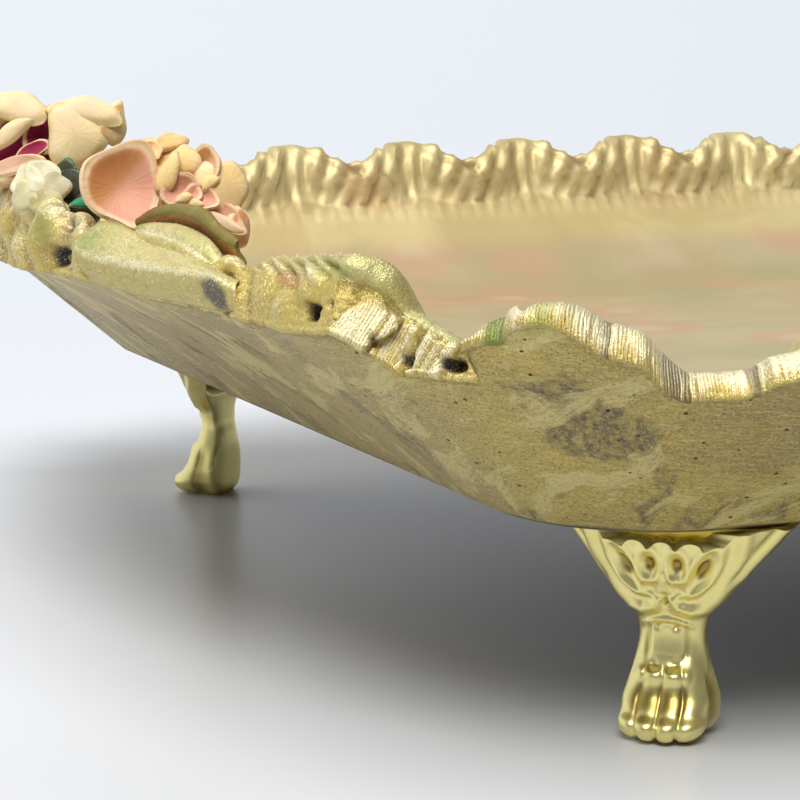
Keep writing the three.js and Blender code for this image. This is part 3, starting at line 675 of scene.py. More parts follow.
def brow(side):
    """How far a superellipse bulges ahead at shares of its half width."""
    return (1 - np.abs(side) ** SQUARENESS).clip(0) ** (1 / SQUARENESS)


def foot_skin(position, turn, height):
    """One paw foot: level rings round a superellipse that is flatter behind. The back is drawn in behind the fan, so
    that the fan is a shell, and a plate lies against its inside at the top. The fan's top edge dips in scallops between
    its wings."""
    angle = (np.arange(FOOT_COLUMNS) + 0.5) / FOOT_COLUMNS * TURN
    across, ahead = np.sin(angle), np.cos(angle)
    square = (np.abs(across) ** SQUARENESS + np.abs(ahead) ** SQUARENESS) ** (-1 / SQUARENESS)
    side, ahead = across * square, ahead * square
    middle = smooth(0.68, 0.56, np.abs(side))
    tops = height - middle * (3.4 - 1.3 * np.abs(np.cos(math.pi * side * 3.6)) ** 0.7)
    share = np.linspace(0, 1, FOOT_ROWS)[:, None]
    level = share * tops
    half = curve(FOOT_LEVELS, FOOT_HALF, level)
    front, back = (curve(FRONT_LEVELS, values, level) for values in (FOOT_FRONT, FOOT_BACK))
    fan = np.clip((level - FAN_LEVEL) / (height - FAN_LEVEL), 0, 1)
    rounding = 1 - 0.25 * bell(level / 0.7)
    shell = brow(side) * front - FAN_SHELL * smooth(0.3, -0.3, ahead)
    solid = np.where(ahead > 0, brow(side) * front, -brow(side) * back)
    depth = solid + (shell - solid) * smooth(0.12, 0.5, fan)
    depth = depth * rounding - WING_SWEEP * fan * side ** 2
    points = np.stack([depth, side * half * rounding, level], -1)
    facing = smooth(-0.05, 0.35, ahead) + smooth(0.3, 0.6, fan) * smooth(0.7, 0.95, np.abs(side)) * (ahead > -0.4)
    relief = foot_relief(side * half, level, half) * np.clip(facing, 0, 1) * smooth(0.0, 0.03, share)
    points = points + grid_normals(points) * relief[..., None]
    # Painted dark reflection: the middle toes' upper faces are darkened through the relief value.
    hollow = 0.85 * hump((level - 6.3) / 3.4) * smooth(7.0, 3.2, np.abs(side * half)) * (ahead > 0)
    reach = np.linspace(-PLATE_SHARE, PLATE_SHARE, PLATE_STEPS)
    plate = []
    for below, inset in PLATE_RINGS:
        lip = brow(reach) * curve(FRONT_LEVELS, FOOT_FRONT, height - below)
        lip = lip - FAN_SHELL - inset - WING_SWEEP * reach ** 2
        wide = reach * (curve(FOOT_LEVELS, FOOT_HALF, height - below) - inset)
        behind = np.full(PLATE_STEPS, inset - PLATE_BACK)
        ring = np.stack([np.append(lip, behind), np.append(wide, wide[::-1])], -1)
        plate.append(np.concatenate([ring, np.full((2 * PLATE_STEPS, 1), height - below)], -1))
    spin = turned(turn, 0, 1).T
    skin = Skin()
    # Painted yellow reflection on the fan's inside and on the plate, marked by the last value of each add.
    skin.add(points @ spin + position, relief=relief - hollow, well_reflection=0.8 * smooth(0.35, 0.6, fan) * (ahead < 0))
    skin.add(np.stack(plate) @ spin + position, relief=0, well_reflection=1)
    return skin


def screw_skin(position):
    """A domed screw head with a cross cut into it, and its shank."""
    rings = np.array(SCREW_RINGS)
    angle = np.arange(SCREW_COLUMNS) / SCREW_COLUMNS * TURN
    plan = np.stack([np.cos(angle), np.sin(angle)], -1) * rings[:, None, :1]
    cross = smooth(0.42, 0.28, np.min(np.abs(plan), -1)) * smooth(1.7, 1.4, np.max(np.abs(plan), -1))
    lift = rings[:, 1:] + 0.8 * cross * (rings[:, 1:] < -1)
    return Skin().add(np.concatenate([plan, lift[..., None]], -1) + position, dent=cross)


# Flowers and leaves


# Ways to the right, up and towards the viewer of the left front flowers.
FLOWER_WAYS = ((0.919, -0.393, 0), (0, 0, 1), (-0.393, -0.919, 0))
PETAL_STEPS = 27
HEART_ROWS = 15
HEART_COLUMNS = 32
BEHIND_YAWS = (105, 150, 200, 245)

# Hearts of flowers: right, up, near, wide, tall, thick, tint, ochre.
# Petals: right, up, near, wide, tall, spin, yaw, pitch, deep, tint, ochre.
# Ochre is the share of painted shade on a heart or petal.
PEACH_HEARTS = ((2.0, -2.5, -4.5, 9.5, 6.0, 4.6, 0.1, 0.6),)
PEACH_PETALS = (
    (-5.8, 2.6, 4.4, 6.4, 6.9, 196, 18, 12, 4.2, 0.0, 1.0),
    (-0.5, 6.6, -2.4, 6.4, 3.8, -6, 0, 30, 1.2, 0.7, 0.7),
    (0.6, 9.0, -4.0, 3.0, 1.7, 10, 10, 30, -0.6, 0.8, 0.6),
    (-2.6, 8.0, -2.6, 2.4, 1.6, -20, -10, 30, 0.5, 0.6, 0.8),
    (0.8, 4.4, 2.4, 1.7, 3.6, -24, -15, 10, -0.8, 0.9, 0.1),
    (3.2, 6.4, 0.4, 2.9, 2.5, 15, 5, 25, -0.8, 0.8, 0.3),
    (5.8, 5.0, 0.8, 3.1, 4.0, -20, -25, 8, 1.6, 0.45, 1.0),
    (9.6, 2.0, -0.4, 5.0, 4.8, -38, 30, 12, -1.4, 1.0, 0.3),
    (2.9, 1.9, 3.4, 3.2, 2.7, 15, 5, 15, 1.8, 0.0, 0.1),
    (6.0, 0.9, 3.6, 3.0, 2.3, -12, 10, 25, 1.5, 0.05, 0.2),
    (3.5, 0.6, 5.0, 1.5, 0.9, 20, 0, 20, -0.5, 0.9, 0.0),
    (5.4, -0.3, 5.0, 1.3, 0.8, -15, 0, 20, -0.4, 0.9, 0.0),
    (9.0, -1.9, 2.8, 5.2, 2.6, -28, 20, 30, 1.4, 0.05, 0.3),
    (9.6, -3.4, 3.0, 4.4, 1.2, -30, 15, 20, -0.6, 0.9, 0.0),
    (12.0, -4.8, 0.8, 2.8, 3.6, -20, 45, 5, -0.9, 0.3, 1.0),
    (1.0, -1.8, 3.4, 5.0, 3.2, 5, 0, 30, 1.6, 0.05, 0.4),
    (7.4, 2.9, 2.0, 1.8, 1.1, 40, 0, 25, -0.5, 0.9, 0.1),
    (5.0, -2.6, 4.0, 3.4, 1.8, -10, 5, 25, 0.9, 0.1, 0.6),
)
BURGUNDY_HEARTS = ((0.0, -2.5, -6.6, 10.0, 6.4, 3.4, 0.8, 0.5),)
BURGUNDY_PETALS = (
    (-1.5, 2.6, 1.0, 8.8, 6.6, 10, -8, 12, 5.0, 0.0, 0.0),
    (-3.4, 9.0, -1.0, 6.4, 3.0, -12, -5, 35, -1.2, 1.0, 0.2),
    (-4.2, 4.4, 0.6, 4.4, 1.7, 42, -20, 15, -0.9, 1.0, 0.1),
    (7.0, 4.0, 2.0, 5.0, 6.0, 20, 10, 8, -1.6, 0.85, 0.1),
    (9.0, 8.4, 0.6, 6.6, 2.8, -8, 5, 40, -1.2, 1.0, 0.2),
    (13.6, 5.8, -0.6, 2.8, 4.1, -30, 40, 10, -1.0, 0.75, 0.9),
    (-3.6, -0.9, 3.8, 6.4, 1.9, 14, 0, 30, 0.7, 0.55, 0.3),
    (-12.0, 3.0, -1.0, 5.0, 5.6, -10, -55, 15, -1.6, 0.8, 0.3),
    (4.6, -3.2, 3.0, 5.4, 3.4, -10, 15, 30, -1.0, 0.7, 0.4),
    (1.2, 4.4, -1.2, 2.6, 4.6, -25, 15, 10, 1.4, 0.0, 0.0),
    (-0.6, 1.4, 1.6, 3.4, 1.5, 30, -10, 20, 0.8, 0.1, 0.0),
)
BLOSSOM_HEARTS = ((-2.0, 3.0, -2.5, 3.2, 5.6, 2.6, 1.0, 0.3), (-2.6, 6.6, 1.6, 1.0, 0.9, 0.8, 1.0, 0.3))
BLOSSOM_PETALS = (
    (-4.4, 7.8, 0.6, 3.0, 2.7, 30, -25, 25, 0.7, 0.0, 0.3),
    (-1.6, 8.9, 0.2, 3.1, 2.6, -15, 5, 35, 0.7, 0.0, 0.4),
    (0.6, 6.6, 1.0, 2.9, 2.7, 10, 30, 15, -0.6, 0.1, 0.7),
    (-1.0, 4.3, 1.8, 3.1, 2.6, -10, 10, -5, -0.8, 0.7, 0.6),
    (-4.4, 5.0, 1.4, 3.0, 2.7, 15, -25, 0, -0.6, 0.45, 0.5),
    (-2.2, 6.8, 2.0, 1.8, 1.6, 30, 0, 20, -0.5, 0.0, 0.0),
    (1.0, 2.4, 1.6, 2.0, 1.7, 20, 15, 5, -0.6, 0.9, 0.2),
)
# The gap leaves are near black, as painted shade in the gap between the flowers.
GAP_HEARTS = ((-3.6, 5.4, -1.4, 2.4, 3.4, 1.8, 0.0, 0.0),)
GAP_PETALS = (
    (-5.8, 9.8, -1.6, 3.0, 3.1, 30, -10, 15, -0.8, 0.0, 0.0),
    (-7.2, 11.6, -3.2, 2.6, 2.2, 60, -20, 10, -0.6, 0.0, 0.0),
    (-3.2, 7.2, 2.4, 2.3, 1.0, 8, 10, 20, -0.4, 1.0, 0.0),
    (-2.8, 6.4, -3.6, 2.4, 4.6, 20, 180, 15, -0.8, 0.5, 0.0),
    (-5.2, 5.6, -3.4, 2.0, 3.8, -25, 190, 10, -0.6, 0.4, 0.0),
)

LEAF_STEPS = 61
FACET_STEPS = 10
# Height of the rim's valleys that the heights of the leaves' lines go with.
LEAF_VALLEY = 58.8
# Lines along the leaves: distance from the corner lobe's crest, height, distance outside the rim's edge.
GILT_LEAF = (
    ((-87.5, 68.1, 0.5), (-84.4, 65.9, 0.5), (-72.7, 64.9, 0.5), (-59.4, 64.8, 0.5), (-51.1, 64.6, 0.5),
     (-46.8, 65.4, 0.3)),
    ((-86.5, 71.0, 2.0), (-82.2, 70.3, 2.5), (-70.2, 69.9, 2.6), (-60.7, 70.1, 2.5), (-52.6, 70.2, 2.1),
     (-47.0, 68.6, 0.8)),
    ((-92.4, 72.1, -2), (-83.9, 75.6, -2), (-75.8, 73.9, -2), (-65.5, 72.6, -2), (-56.8, 70.8, -1.6),
     (-48.6, 69.3, -1.0)),
)
GILT_LOBE = (
    ((-80.2, 73.0, -2.5), (-76.5, 72.4, -1.2), (-69.0, 71.2, -0.6), (-62.0, 70.0, -0.6), (-57.0, 68.8, -0.8),
     (-54.0, 67.8, -1.5)),
    ((-80.2, 74.0, -3.4), (-77.0, 74.4, -2.2), (-70.2, 74.2, -1.7), (-62.8, 73.0, -1.7), (-58.2, 71.2, -2.2),
     (-54.8, 68.6, -3.0)),
    ((-80.2, 74.6, -4.5), (-77.5, 75.6, -4.5), (-70.8, 76.0, -4.5), (-63.2, 74.9, -4.5), (-59.0, 72.8, -4.5),
     (-55.2, 68.8, -4.5)),
)
SEPAL = (
    ((-83.0, 73.0, -8.0), (-77.5, 72.8, -8.0), (-72.0, 73.0, -8.0), (-66.5, 72.0, -8.0), (-61.5, 70.5, -7.5),
     (-57.0, 70.0, -7.5)),
    ((-83.6, 74.8, -6.0), (-78.4, 77.0, -5.6), (-73.0, 77.7, -5.4), (-67.3, 77.4, -5.4), (-62.0, 75.0, -5.6),
     (-57.7, 73.4, -6.0)),
    ((-83.9, 75.8, -7.0), (-78.5, 78.1, -7.0), (-73.1, 78.8, -7.0), (-67.4, 78.6, -7.0), (-62.2, 76.1, -7.0),
     (-57.8, 74.4, -7.0)),
)


def sheet_ring(face, thickness):
    """A sheet with thickness: each row runs across its face and back across its other side."""
    other = face - grid_normals(face, wrap_cols=False) * thickness[..., None]
    return np.concatenate([face, other[:, ::-1]], 1)


def there_and_back(grid):
    """A value the same on both sides of a sheet."""
    return np.concatenate([grid, grid[:, ::-1]], 1)


def petal(right, up, near, wide, tall, spin, yaw, pitch, deep, tint, ochre):
    """An oval petal: a dish that is hollow towards the viewer, or domed if its depth is below 0, with a wavy rim that
    rolls back. It is spun in its plane, then turned up by the pitch and to the right by the yaw, in degrees."""
    a = np.linspace(-1, 1, PETAL_STEPS)
    b = a[:, None]
    x, y = a * np.sqrt(1 - b * b / 2), b * np.sqrt(1 - a * a / 2)
    r, angle = np.hypot(x, y), np.arctan2(y, x)
    rim = smooth(0.68, 1.0, r)
    wave = 1 + r ** 2 * (0.07 * np.cos(3 * angle + right) + 0.04 * np.cos(5 * angle + 2 * up))
    depth = -deep * (1 - r ** 2) - 0.16 * wide * rim ** 2 + 0.05 * wide * r ** 2 * np.sin(3 * angle + wide + up)
    flat = np.stack([x * wave * wide * (1 - 0.22 * y), y * wave * tall, depth], -1)
    spin, yaw, pitch = np.radians([spin, yaw, pitch])
    lean = x * (math.sin(spin) - math.cos(spin)) + y * (math.cos(spin) + math.sin(spin))
    turn = turned(yaw, 2, 0) @ (turned(pitch, 2, 1) @ turned(spin, 0, 1))
    face = flat @ turn.T + np.array([right, up, near])
    thickness = (0.24 * min(wide, tall) + 0.35) * np.sqrt(np.clip(1 - r ** 8, 0, 1)) + 0.06
    # Painted shade under the rim on one side of the petal, and a quarter share on its back.
    shade = ochre * smooth(-0.35, 0.45, 0.7 * lean) * smooth(1.0, 0.86, r)
    return {"points": sheet_ring(face, thickness), "cap": "zip", "edge": there_and_back(rim),
            "spoke_x": there_and_back(x / np.maximum(r, 0.1)), "spoke_y": there_and_back(y / np.maximum(r, 0.1) + up),
            "ochre": np.concatenate([shade, np.full_like(shade, 0.25)], 1), "tint": tint}


def heart(right, up, near, wide, tall, thick, tint, ochre):
    """The egg-shaped body that a flower's petals are set on."""
    rise = np.linspace(-0.99, 0.99, HEART_ROWS)[:, None]
    angle = np.arange(HEART_COLUMNS) / HEART_COLUMNS * TURN
    reach = np.sqrt(1 - rise ** 2)
    egg = np.stack([right + wide * reach * np.sin(angle), up + tall * rise * np.ones_like(angle),
                    near + thick * reach * np.cos(angle)], -1)
    return {"points": egg, "edge": 0, "spoke_x": 0, "spoke_y": 0, "ochre": ochre, "tint": tint}


def flower_skin(node, end, side, hearts, petals, behind=None):
    """A flower set round the middle of its node's box, mirrored from the left front quarter of the tray to its own. It
    may have domed petals behind it, at a distance and with a size."""
    low, high = (np.array(corner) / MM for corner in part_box(node))
    flip = np.array([-ENDS[end], -SIDES[side], 1])
    shapes = [heart(*row) for row in hearts] + [petal(*row) for row in petals]
    if behind:
        reach, tall = behind
        for yaw in BEHIND_YAWS:
            way = math.radians(yaw)
            x, z = reach * math.sin(way), reach * math.cos(way) - 4
            shapes.append(petal(x, 1.0, z, tall, tall, 0, yaw, 20, -2.0, 0.6, 0.5))
    skin = Skin()
    for shape in shapes:
        shape["points"] = shape["points"] @ (np.array(FLOWER_WAYS) * flip) + (low + high) / 2
        skin.add(flip=flip.prod() < 0, **shape)
    return skin


def sheet(skin, sizes, start, way, lines, thick, shade, smudge):
    """Adds a leaf laid over the rim. Lines run along it, each through places given by the distance from the corner
    lobe's crest, the height, and the distance outside the rim's edge; slightly swelled facets join line to line."""
    lines = np.array(lines, float)
    count, knots = lines.shape[:2]
    t = np.linspace(0, 1, LEAF_STEPS)
    places = np.linspace(0, 1, knots)
    grid = np.stack([np.stack([curve(places, line[:, k], t) for k in range(3)], -1) for line in lines])
    row = np.linspace(0, count - 1, FACET_STEPS * (count - 1) + 1)[:, None]
    k = np.minimum(row[:, 0].astype(int), count - 2)
    share = row - k[:, None]
    grid = grid[k] * (1 - share[..., None]) + grid[k + 1] * share[..., None]
    rim = Rim(start + way * (Rim(np.zeros(1), sizes).corner_crest + grid[..., 0]), sizes)
    out = rim.section(np.ones(grid.shape[:2]))[..., 0] + grid[..., 2]
    face = rim.lift(np.stack([out, grid[..., 1] + rim.mm["underside"] + rim.mm["rim_rise"] - LEAF_VALLEY], -1))
    normal = grid_normals(face, wrap_cols=False)
    outwards = np.concatenate([rim.out, np.ones(grid.shape[:2] + (1,))], -1)
    inward = bool((normal * outwards).sum() < 0)
    veins = np.cos(TURN * (26 * t + 1.3 * row)) * (0.5 + 0.5 * np.cos(TURN * (7 * t - 0.4 * row)))
    swell = 0.45 * 4 * share * (1 - share) + 0.10 * veins
    face = face + normal * (swell * (-1 if inward else 1))[..., None]
    a = 2 * row / row[-1] - 1
    b = 2 * t - 1
    edge = np.sqrt(np.clip(1 - np.abs(a) ** 10, 0, 1)) * np.sqrt(np.clip(1 - np.abs(b) ** 24, 0, 1))
    body = thick * edge + 0.08
    spot = smudge * hump((t - 0.84) / 0.17) * hump((row - 0.5) / 0.85)
    tip = shade + 0.6 * smooth(0.3, 0.05, t) * smooth(0.8, 1.3, row)
    low = smooth(1.0, 0.8, row) * np.ones_like(t)
    # The ridge value places painted glints along the leaf's ridge.
    skin.add(sheet_ring(face, -body if inward else body), flip=inward, cap="zip", veins=there_and_back(veins),
             shade=there_and_back(tip), smudge=there_and_back(spot), low=np.concatenate([low, 0 * low], 1),
             ridge=there_and_back(bell((row - 1) / 0.13) * np.ones_like(t)))


# Materials


class Value:
    """A shader socket that works in Python sums."""

    def __init__(self, net, socket):
        self.net, self.socket = net, socket

    def _math(self, operation, first, second):
        return self.net.add("ShaderNodeMath", {"operation": operation}, {0: first, 1: second})

    def __add__(self, other):
        return self._math("ADD", self, other)

    def __radd__(self, other):
        return self._math("ADD", other, self)

    def __sub__(self, other):
        return self._math("SUBTRACT", self, other)

    def __rsub__(self, other):
        return self._math("SUBTRACT", other, self)

    def __mul__(self, other):
        return self._math("MULTIPLY", self, other)

    def __rmul__(self, other):
        return self._math("MULTIPLY", other, self)


class Net:
    """The nodes of a material or world. One method adds any node; the rest are short names for common ones."""

    def __init__(self, name, home="materials"):
        self.made = getattr(bpy.data, home).new(name)
        self.made.use_nodes = True
        self.tree = self.made.node_tree
        self.tree.nodes.clear()

    def add(self, kind, settings=None, sockets=None, output=0):
        node = self.tree.nodes.new(kind)
        for key, value in (settings or {}).items():
            setattr(node, key, value)
        for key, value in (sockets or {}).items():
            socket = node.inputs[key]
            if isinstance(value, Value):
                self.tree.links.new(value.socket, socket)
            elif socket.type == "RGBA":
                socket.default_value = (*value, 1)
            else:
                socket.default_value = value
        return Value(self, node.outputs[output])

    def point(self, turn=(0, 0, 0), scale=(1, 1, 1)):
        """Place on the piece, turned and stretched."""
        place = self.add("ShaderNodeTexCoord", output="Object")
        return self.add("ShaderNodeMapping", {}, {"Vector": place, "Rotation": turn, "Scale": scale})

    def read(self, name):
        """A value kept at the piece's points."""
        return self.add("ShaderNodeAttribute", {"attribute_name": name}, output="Fac")

    def noise(self, place, scale, detail=4, rough=0.55, distortion=0.0):
        sockets = {"Vector": place, "Scale": scale, "Detail": detail, "Roughness": rough, "Distortion": distortion}
        return self.add("ShaderNodeTexNoise", {}, sockets, "Fac")

    def cells(self, place, scale, spread=1.0):
        """Distance from the nearest of scattered points, and a random colour of that point's own."""
        sockets = {"Vector": place, "Scale": scale, "Randomness": spread}
        return [self.add("ShaderNodeTexVoronoi", {}, sockets, output) for output in ("Distance", "Color")]

    def strokes(self, place, angle, along, across, few):
        """Long strokes at an angle: noise stretched along it and cut at a level."""
        turned_place = self.add("ShaderNodeMapping", {}, {"Vector": place, "Rotation": (0, 0, angle)})
        drawn = self.add("ShaderNodeMapping", {}, {"Vector": turned_place, "Scale": (along, across, 1)})
        return self.step(self.noise(drawn, 1.0, 3, 0.65), few, few + 0.1)

    def step(self, value, low, high):
        """0 below low, 1 above high, smooth between; low may be the greater."""
        ends = (1.0, 0.0) if low > high else (0.0, 1.0)
        return self.add("ShaderNodeMapRange", {"interpolation_type": "SMOOTHSTEP"},
                        {"Value": value, "From Min": min(low, high), "From Max": max(low, high),
                         "To Min": ends[0], "To Max": ends[1]})

    def blend(self, share, first, second):
        """Colour from first to second."""
        return self.add("ShaderNodeMix", {"data_type": "RGBA"}, {0: share, 6: first, 7: second}, output=2)

    def coat(self, colour, paint, share, value, low, high):
        """A colour with a share of paint over it where a value goes from low to high."""
        return self.blend(self.step(value, low, high) * share, colour, paint)

    def bump(self, height, distance, strength=1.0):
        sockets = {"Height": height, "Distance": distance, "Strength": strength}
        return self.add("ShaderNodeBump", {}, sockets, "Normal")

    def surface(self, **sockets):
        """Ends the net in a Principled shader. Socket names have underscores for spaces."""
        names = {key.replace("_", " "): value for key, value in sockets.items()}
        return self.end(self.add("ShaderNodeBsdfPrincipled", {}, names), "ShaderNodeOutputMaterial")

    def end(self, shader, kind):
        end = self.tree.nodes.new(kind)
        self.tree.links.new(shader.socket, end.inputs["Surface"])
        return self.made


# Colours that are mixed into the finishes, as linear red, green and blue.
BROWN_GOLD = (0.38, 0.28, 0.085)
END_WALL_SHADE = (0.33, 0.265, 0.15)
DARK_GRAIN = (0.15, 0.11, 0.045)
DARK_FLECKS = (0.19, 0.14, 0.07)
PALE_GRAIN = (0.76, 0.65, 0.30)
PINHOLE_SHADE = (0.012, 0.01, 0.008)
UNDERSIDE_SHADE = (0.07, 0.052, 0.03)
CARVED_GOLD = (0.62, 0.51, 0.25)
CARVED_HOLLOW_SHADE = (0.22, 0.15, 0.055)
FLOOR_LIGHT = (0.55, 0.46, 0.275)
FLOOR_LEAVES = (0.36, 0.38, 0.20)
FLOOR_HEARTS = (0.68, 0.56, 0.40)
DULL_RIBS = (0.42, 0.28, 0.08)
RIB_CRUMBS = (0.36, 0.27, 0.07)
RIB_GROOVE_SHADE = (0.25, 0.165, 0.045)
RIB_GRAIN = (0.28, 0.20, 0.06)
RIB_PAINTED_GLINTS = (0.97, 0.91, 0.64)
GREEN_WASH = (0.44, 0.45, 0.13)
GREEN_PAINT = (0.15, 0.21, 0.04)
CHARCOAL = (0.105, 0.08, 0.088)
PIT_SHADE = (0.04, 0.032, 0.026)
PLATING_HOLLOW_SHADE = (0.30, 0.205, 0.035)
PLATING_WELL_REFLECTION = (0.80, 0.60, 0.06)
WASHED_STEEL = (0.55, 0.45, 0.22)
STEEL_CROSS_SHADE = (0.05, 0.04, 0.03)
LEAF_GRAIN = (0.40, 0.32, 0.09)
LEAF_LINES = (0.16, 0.13, 0.03)
LEAF_PAINTED_GLINTS = (0.96, 0.91, 0.66)


def wall_paint(net, tones, place, cloud, level):
    """Outside of the casting: grainy gold, with painted shade that greys the end walls and darkens the underside,
    charcoal patches, pale brushed smears over them, and pinholes darkened by painted shade. Gives the colour, the
    height of the grain and how worn it is."""
    grain = net.noise(place, 2300, 3, 0.75)
    fleck = net.noise(place, 1150, 4, 0.8)
    run, rise, patch = net.read("run"), net.read("place"), net.read("smear")
    wall = net.add("ShaderNodeCombineXYZ", {}, {"X": run, "Y": level})
    drift = net.add("ShaderNodeTexNoise", {}, {"Vector": wall, "Scale": 60.0, "Detail": 2.0}, output="Color")
    swirl = net.add("ShaderNodeVectorMath", {"operation": "MULTIPLY_ADD"}, {0: drift, 1: (0.014, 0.014, 0), 2: wall})
    upper = net.step(rise, 0.72, 0.92)
    worn = net.step(net.noise(swirl, 100, 4, 0.62) + 0.22 * patch - 0.28 * upper, 0.53, 0.66)
    curl = net.noise(swirl, 430, 4, 0.62, 0.7) - 0.5
    network = net.step(curl * curl, 0.0042, 0.0006)
    dark = worn * (0.65 * net.step(fleck, 0.42, 0.54) + 0.4 * network)
    brushed = net.strokes(wall, 0.1, 260, 2200, 0.46)
    pale = net.strokes(swirl, -0.4, 45, 130, 0.50) + net.strokes(swirl, 1.1, 70, 240, 0.56) * patch
    pale = pale * (0.55 + 0.45 * net.strokes(swirl, -0.4, 160, 2600, 0.42)) * (0.6 + 0.4 * net.step(fleck, 0.4, 0.6))
    colour = net.blend(net.step(cloud, 0.40, 0.66), tones.gold, BROWN_GOLD)
    # Painted shade: the end walls, which face away from the light, are made greyer.
    colour = net.coat(colour, END_WALL_SHADE, 0.55, run, 0.125, 0.095)
    colour = net.blend(brushed * 0.3, colour, tones.pale_gold)
    colour = net.coat(colour, DARK_GRAIN, 0.7, grain, 0.48, 0.36)
    colour = net.coat(colour, DARK_FLECKS, 0.3, fleck, 0.47, 0.36)
    colour = net.blend(dark * 0.85, colour, tones.patina)
    colour = net.coat(colour, tones.pale_gold, 0.8, pale, 0.0, 0.9)
    colour = net.coat(colour, PALE_GRAIN, 0.8, grain, 0.57, 0.68)
    # Pinholes, with painted shade inside them: near black.
    cells, chance = net.cells(place, 420.0)
    pinhole = net.step(cells, 0.17, 0.10) * net.step(chance - 0.15 * net.step(patch, 0.2, 0.4), 0.32, 0.30)
    colour = net.blend(pinhole, colour, PINHOLE_SHADE)
    # Painted shade: the underside is darkened, so that it throws less light onto the table below.
    colour = net.coat(colour, UNDERSIDE_SHADE, 0.85, rise, 0.035, 0.005)
    return colour, 0.5 * brushed + 0.7 * grain + 0.5 * fleck - pinhole, 0.2 * worn + 0.12 * grain


def inner_paint(net, tones, place, cloud, level):
    """Inside of the casting: carved gold with painted brown shade in its hollows, a pale cove, and loose painted
    flowers on the floor.
    """
    blotch = net.noise(place, 75, 5, 0.62, 0.8)
    # Painted shade: the carving is darkened brown where it lies low.
    hollow = net.step(net.read("carve") + 1.2 * (net.noise(place, 150, 3) - 0.5), 0.8, -0.5)
    carved = net.blend(net.step(cloud, 0.4, 0.62), tones.cove, CARVED_GOLD)
    carved = net.blend(hollow * net.step(level, 0.0565, 0.0585) * 0.6, carved, CARVED_HOLLOW_SHADE)
    rusty = net.step(net.noise(place, 42, 2), 0.58, 0.68) * net.step(level, 0.055, 0.06)
    carved = net.blend(rusty * 0.2, carved, tones.rust)
    petals, pick = net.cells(place, 36.0, 0.9)
    ragged = petals + 0.45 * (blotch - 0.3)
    flowers = net.step(pick, 0.46, 0.50)
    floor = net.coat(tones.ground, FLOOR_LIGHT, 0.5, cloud, 0.42, 0.62)
    floor = net.blend(net.step(ragged, 0.66, 0.36) * flowers * 0.32, floor, tones.blush)
    floor = net.blend(net.step(ragged, 0.70, 0.42) * net.step(pick, 0.40, 0.36) * 0.35, floor, FLOOR_LEAVES)
    floor = net.blend(net.step(ragged, 0.30, 0.12) * flowers * 0.35, floor, FLOOR_HEARTS)
    return net.blend(net.step(level, 0.0525, 0.047), carved, floor)


def gilt_casting(tones):
    """Antique gold, worn outside and carved and painted inside."""
    net = Net("gilt_casting")
    place = net.point()
    level = net.add("ShaderNodeSeparateXYZ", {}, {"Vector": place}, output="Z")
    cloud = net.noise(place, 30, 5, 0.6, 0.5)
    inside = net.step(net.read("place"), 1.4, 1.6)
    outer, height, rough = wall_paint(net, tones, place, cloud, level)
    colour = net.blend(inside, outer, inner_paint(net, tones, place, cloud, level))
    return net.surface(Base_Color=colour, Metallic=0.4, Roughness=0.42 + rough,
                       Normal=net.bump(height * (1 - inside), 0.00015, 0.6))


def ribbed_gold(tones):
    """Ribbed and carved gold, painted nearly white on top as a highlight and deeper below, with painted shade in
    the grooves, hollows and pits, painted glints, charcoal smudges, and touches of green and rust."""
    net = Net("ribbed_gold")
    place = net.point()
    across, green, own = net.read("across"), net.read("green"), net.read("own")
    cloud = net.noise(place, 110, 4, 0.6)
    grain = net.noise(place, 2900, 2, 0.7)
    crumb = net.noise(place, 900, 3, 0.7)
    # Painted shade in the grooves between the ribs and in the carved hollows: darker where the rib value is low.
    groove_shade = net.step(net.read("rib"), 0.3, -0.6)
    # Painted highlight: the rim goes near white towards its top, where the light falls, and on the ends' lumps and
    # leaf.
    top = net.step(across + 0.6 * (cloud - 0.5) + 0.25 * own, 0.10, 0.62)
    colour = net.blend(top, tones.bright_gold, tones.top_highlight_gold)
    colour = net.coat(colour, DULL_RIBS, 0.28, own + 0.8 * (crumb - 0.5), -0.1, -0.9)
    colour = net.coat(colour, RIB_CRUMBS, 0.25, crumb, 0.47, 0.36)
    colour = net.blend(groove_shade * (0.32 + 0.36 * net.step(crumb, 0.4, 0.6)), colour, RIB_GROOVE_SHADE)
    colour = net.coat(colour, GREEN_WASH, 0.5, green + 0.6 * (cloud - 0.5), 0.2, 0.6)
    colour = net.coat(colour, GREEN_PAINT, 0.75, green + 0.5 * (cloud - 0.5), 0.55, 0.95)
    colour = net.coat(colour, tones.rust, 0.5, net.read("rust") + 0.8 * (cloud - 0.5), 0.4, 0.9)
    spots = net.noise(place, 160, 3, 0.5, 0.4)
    dark = net.step(net.read("smudge") + 1.8 * (spots - 0.5) - 0.25 * own, 0.4, 0.85) * (0.55 + 0.45 * groove_shade)
    colour = net.blend(dark * 0.9, colour, CHARCOAL)
    # Painted shade: pits, the step under the leaf and the leaf's groove go near black.
    colour = net.blend(net.step(net.read("pit") + 0.8 * (grain - 0.5), 0.4, 1.7), colour, PIT_SHADE)
    # Painted glints: pale specks of highlight laid in the grain.
    painted_glint = net.step(grain + 0.35 * (cloud - 0.5), 0.55, 0.66) * (1 - dark) * net.step(green, 0.7, 0.3)
    colour = net.blend(painted_glint * 0.6, colour, RIB_PAINTED_GLINTS)
    colour = net.coat(colour, RIB_GRAIN, 0.28, grain, 0.45, 0.36)
    return net.surface(Base_Color=colour, Metallic=0.55, Roughness=0.32 + 0.3 * dark + 0.15 * grain,
                       Normal=net.bump(grain + crumb, 0.00028, 0.8))


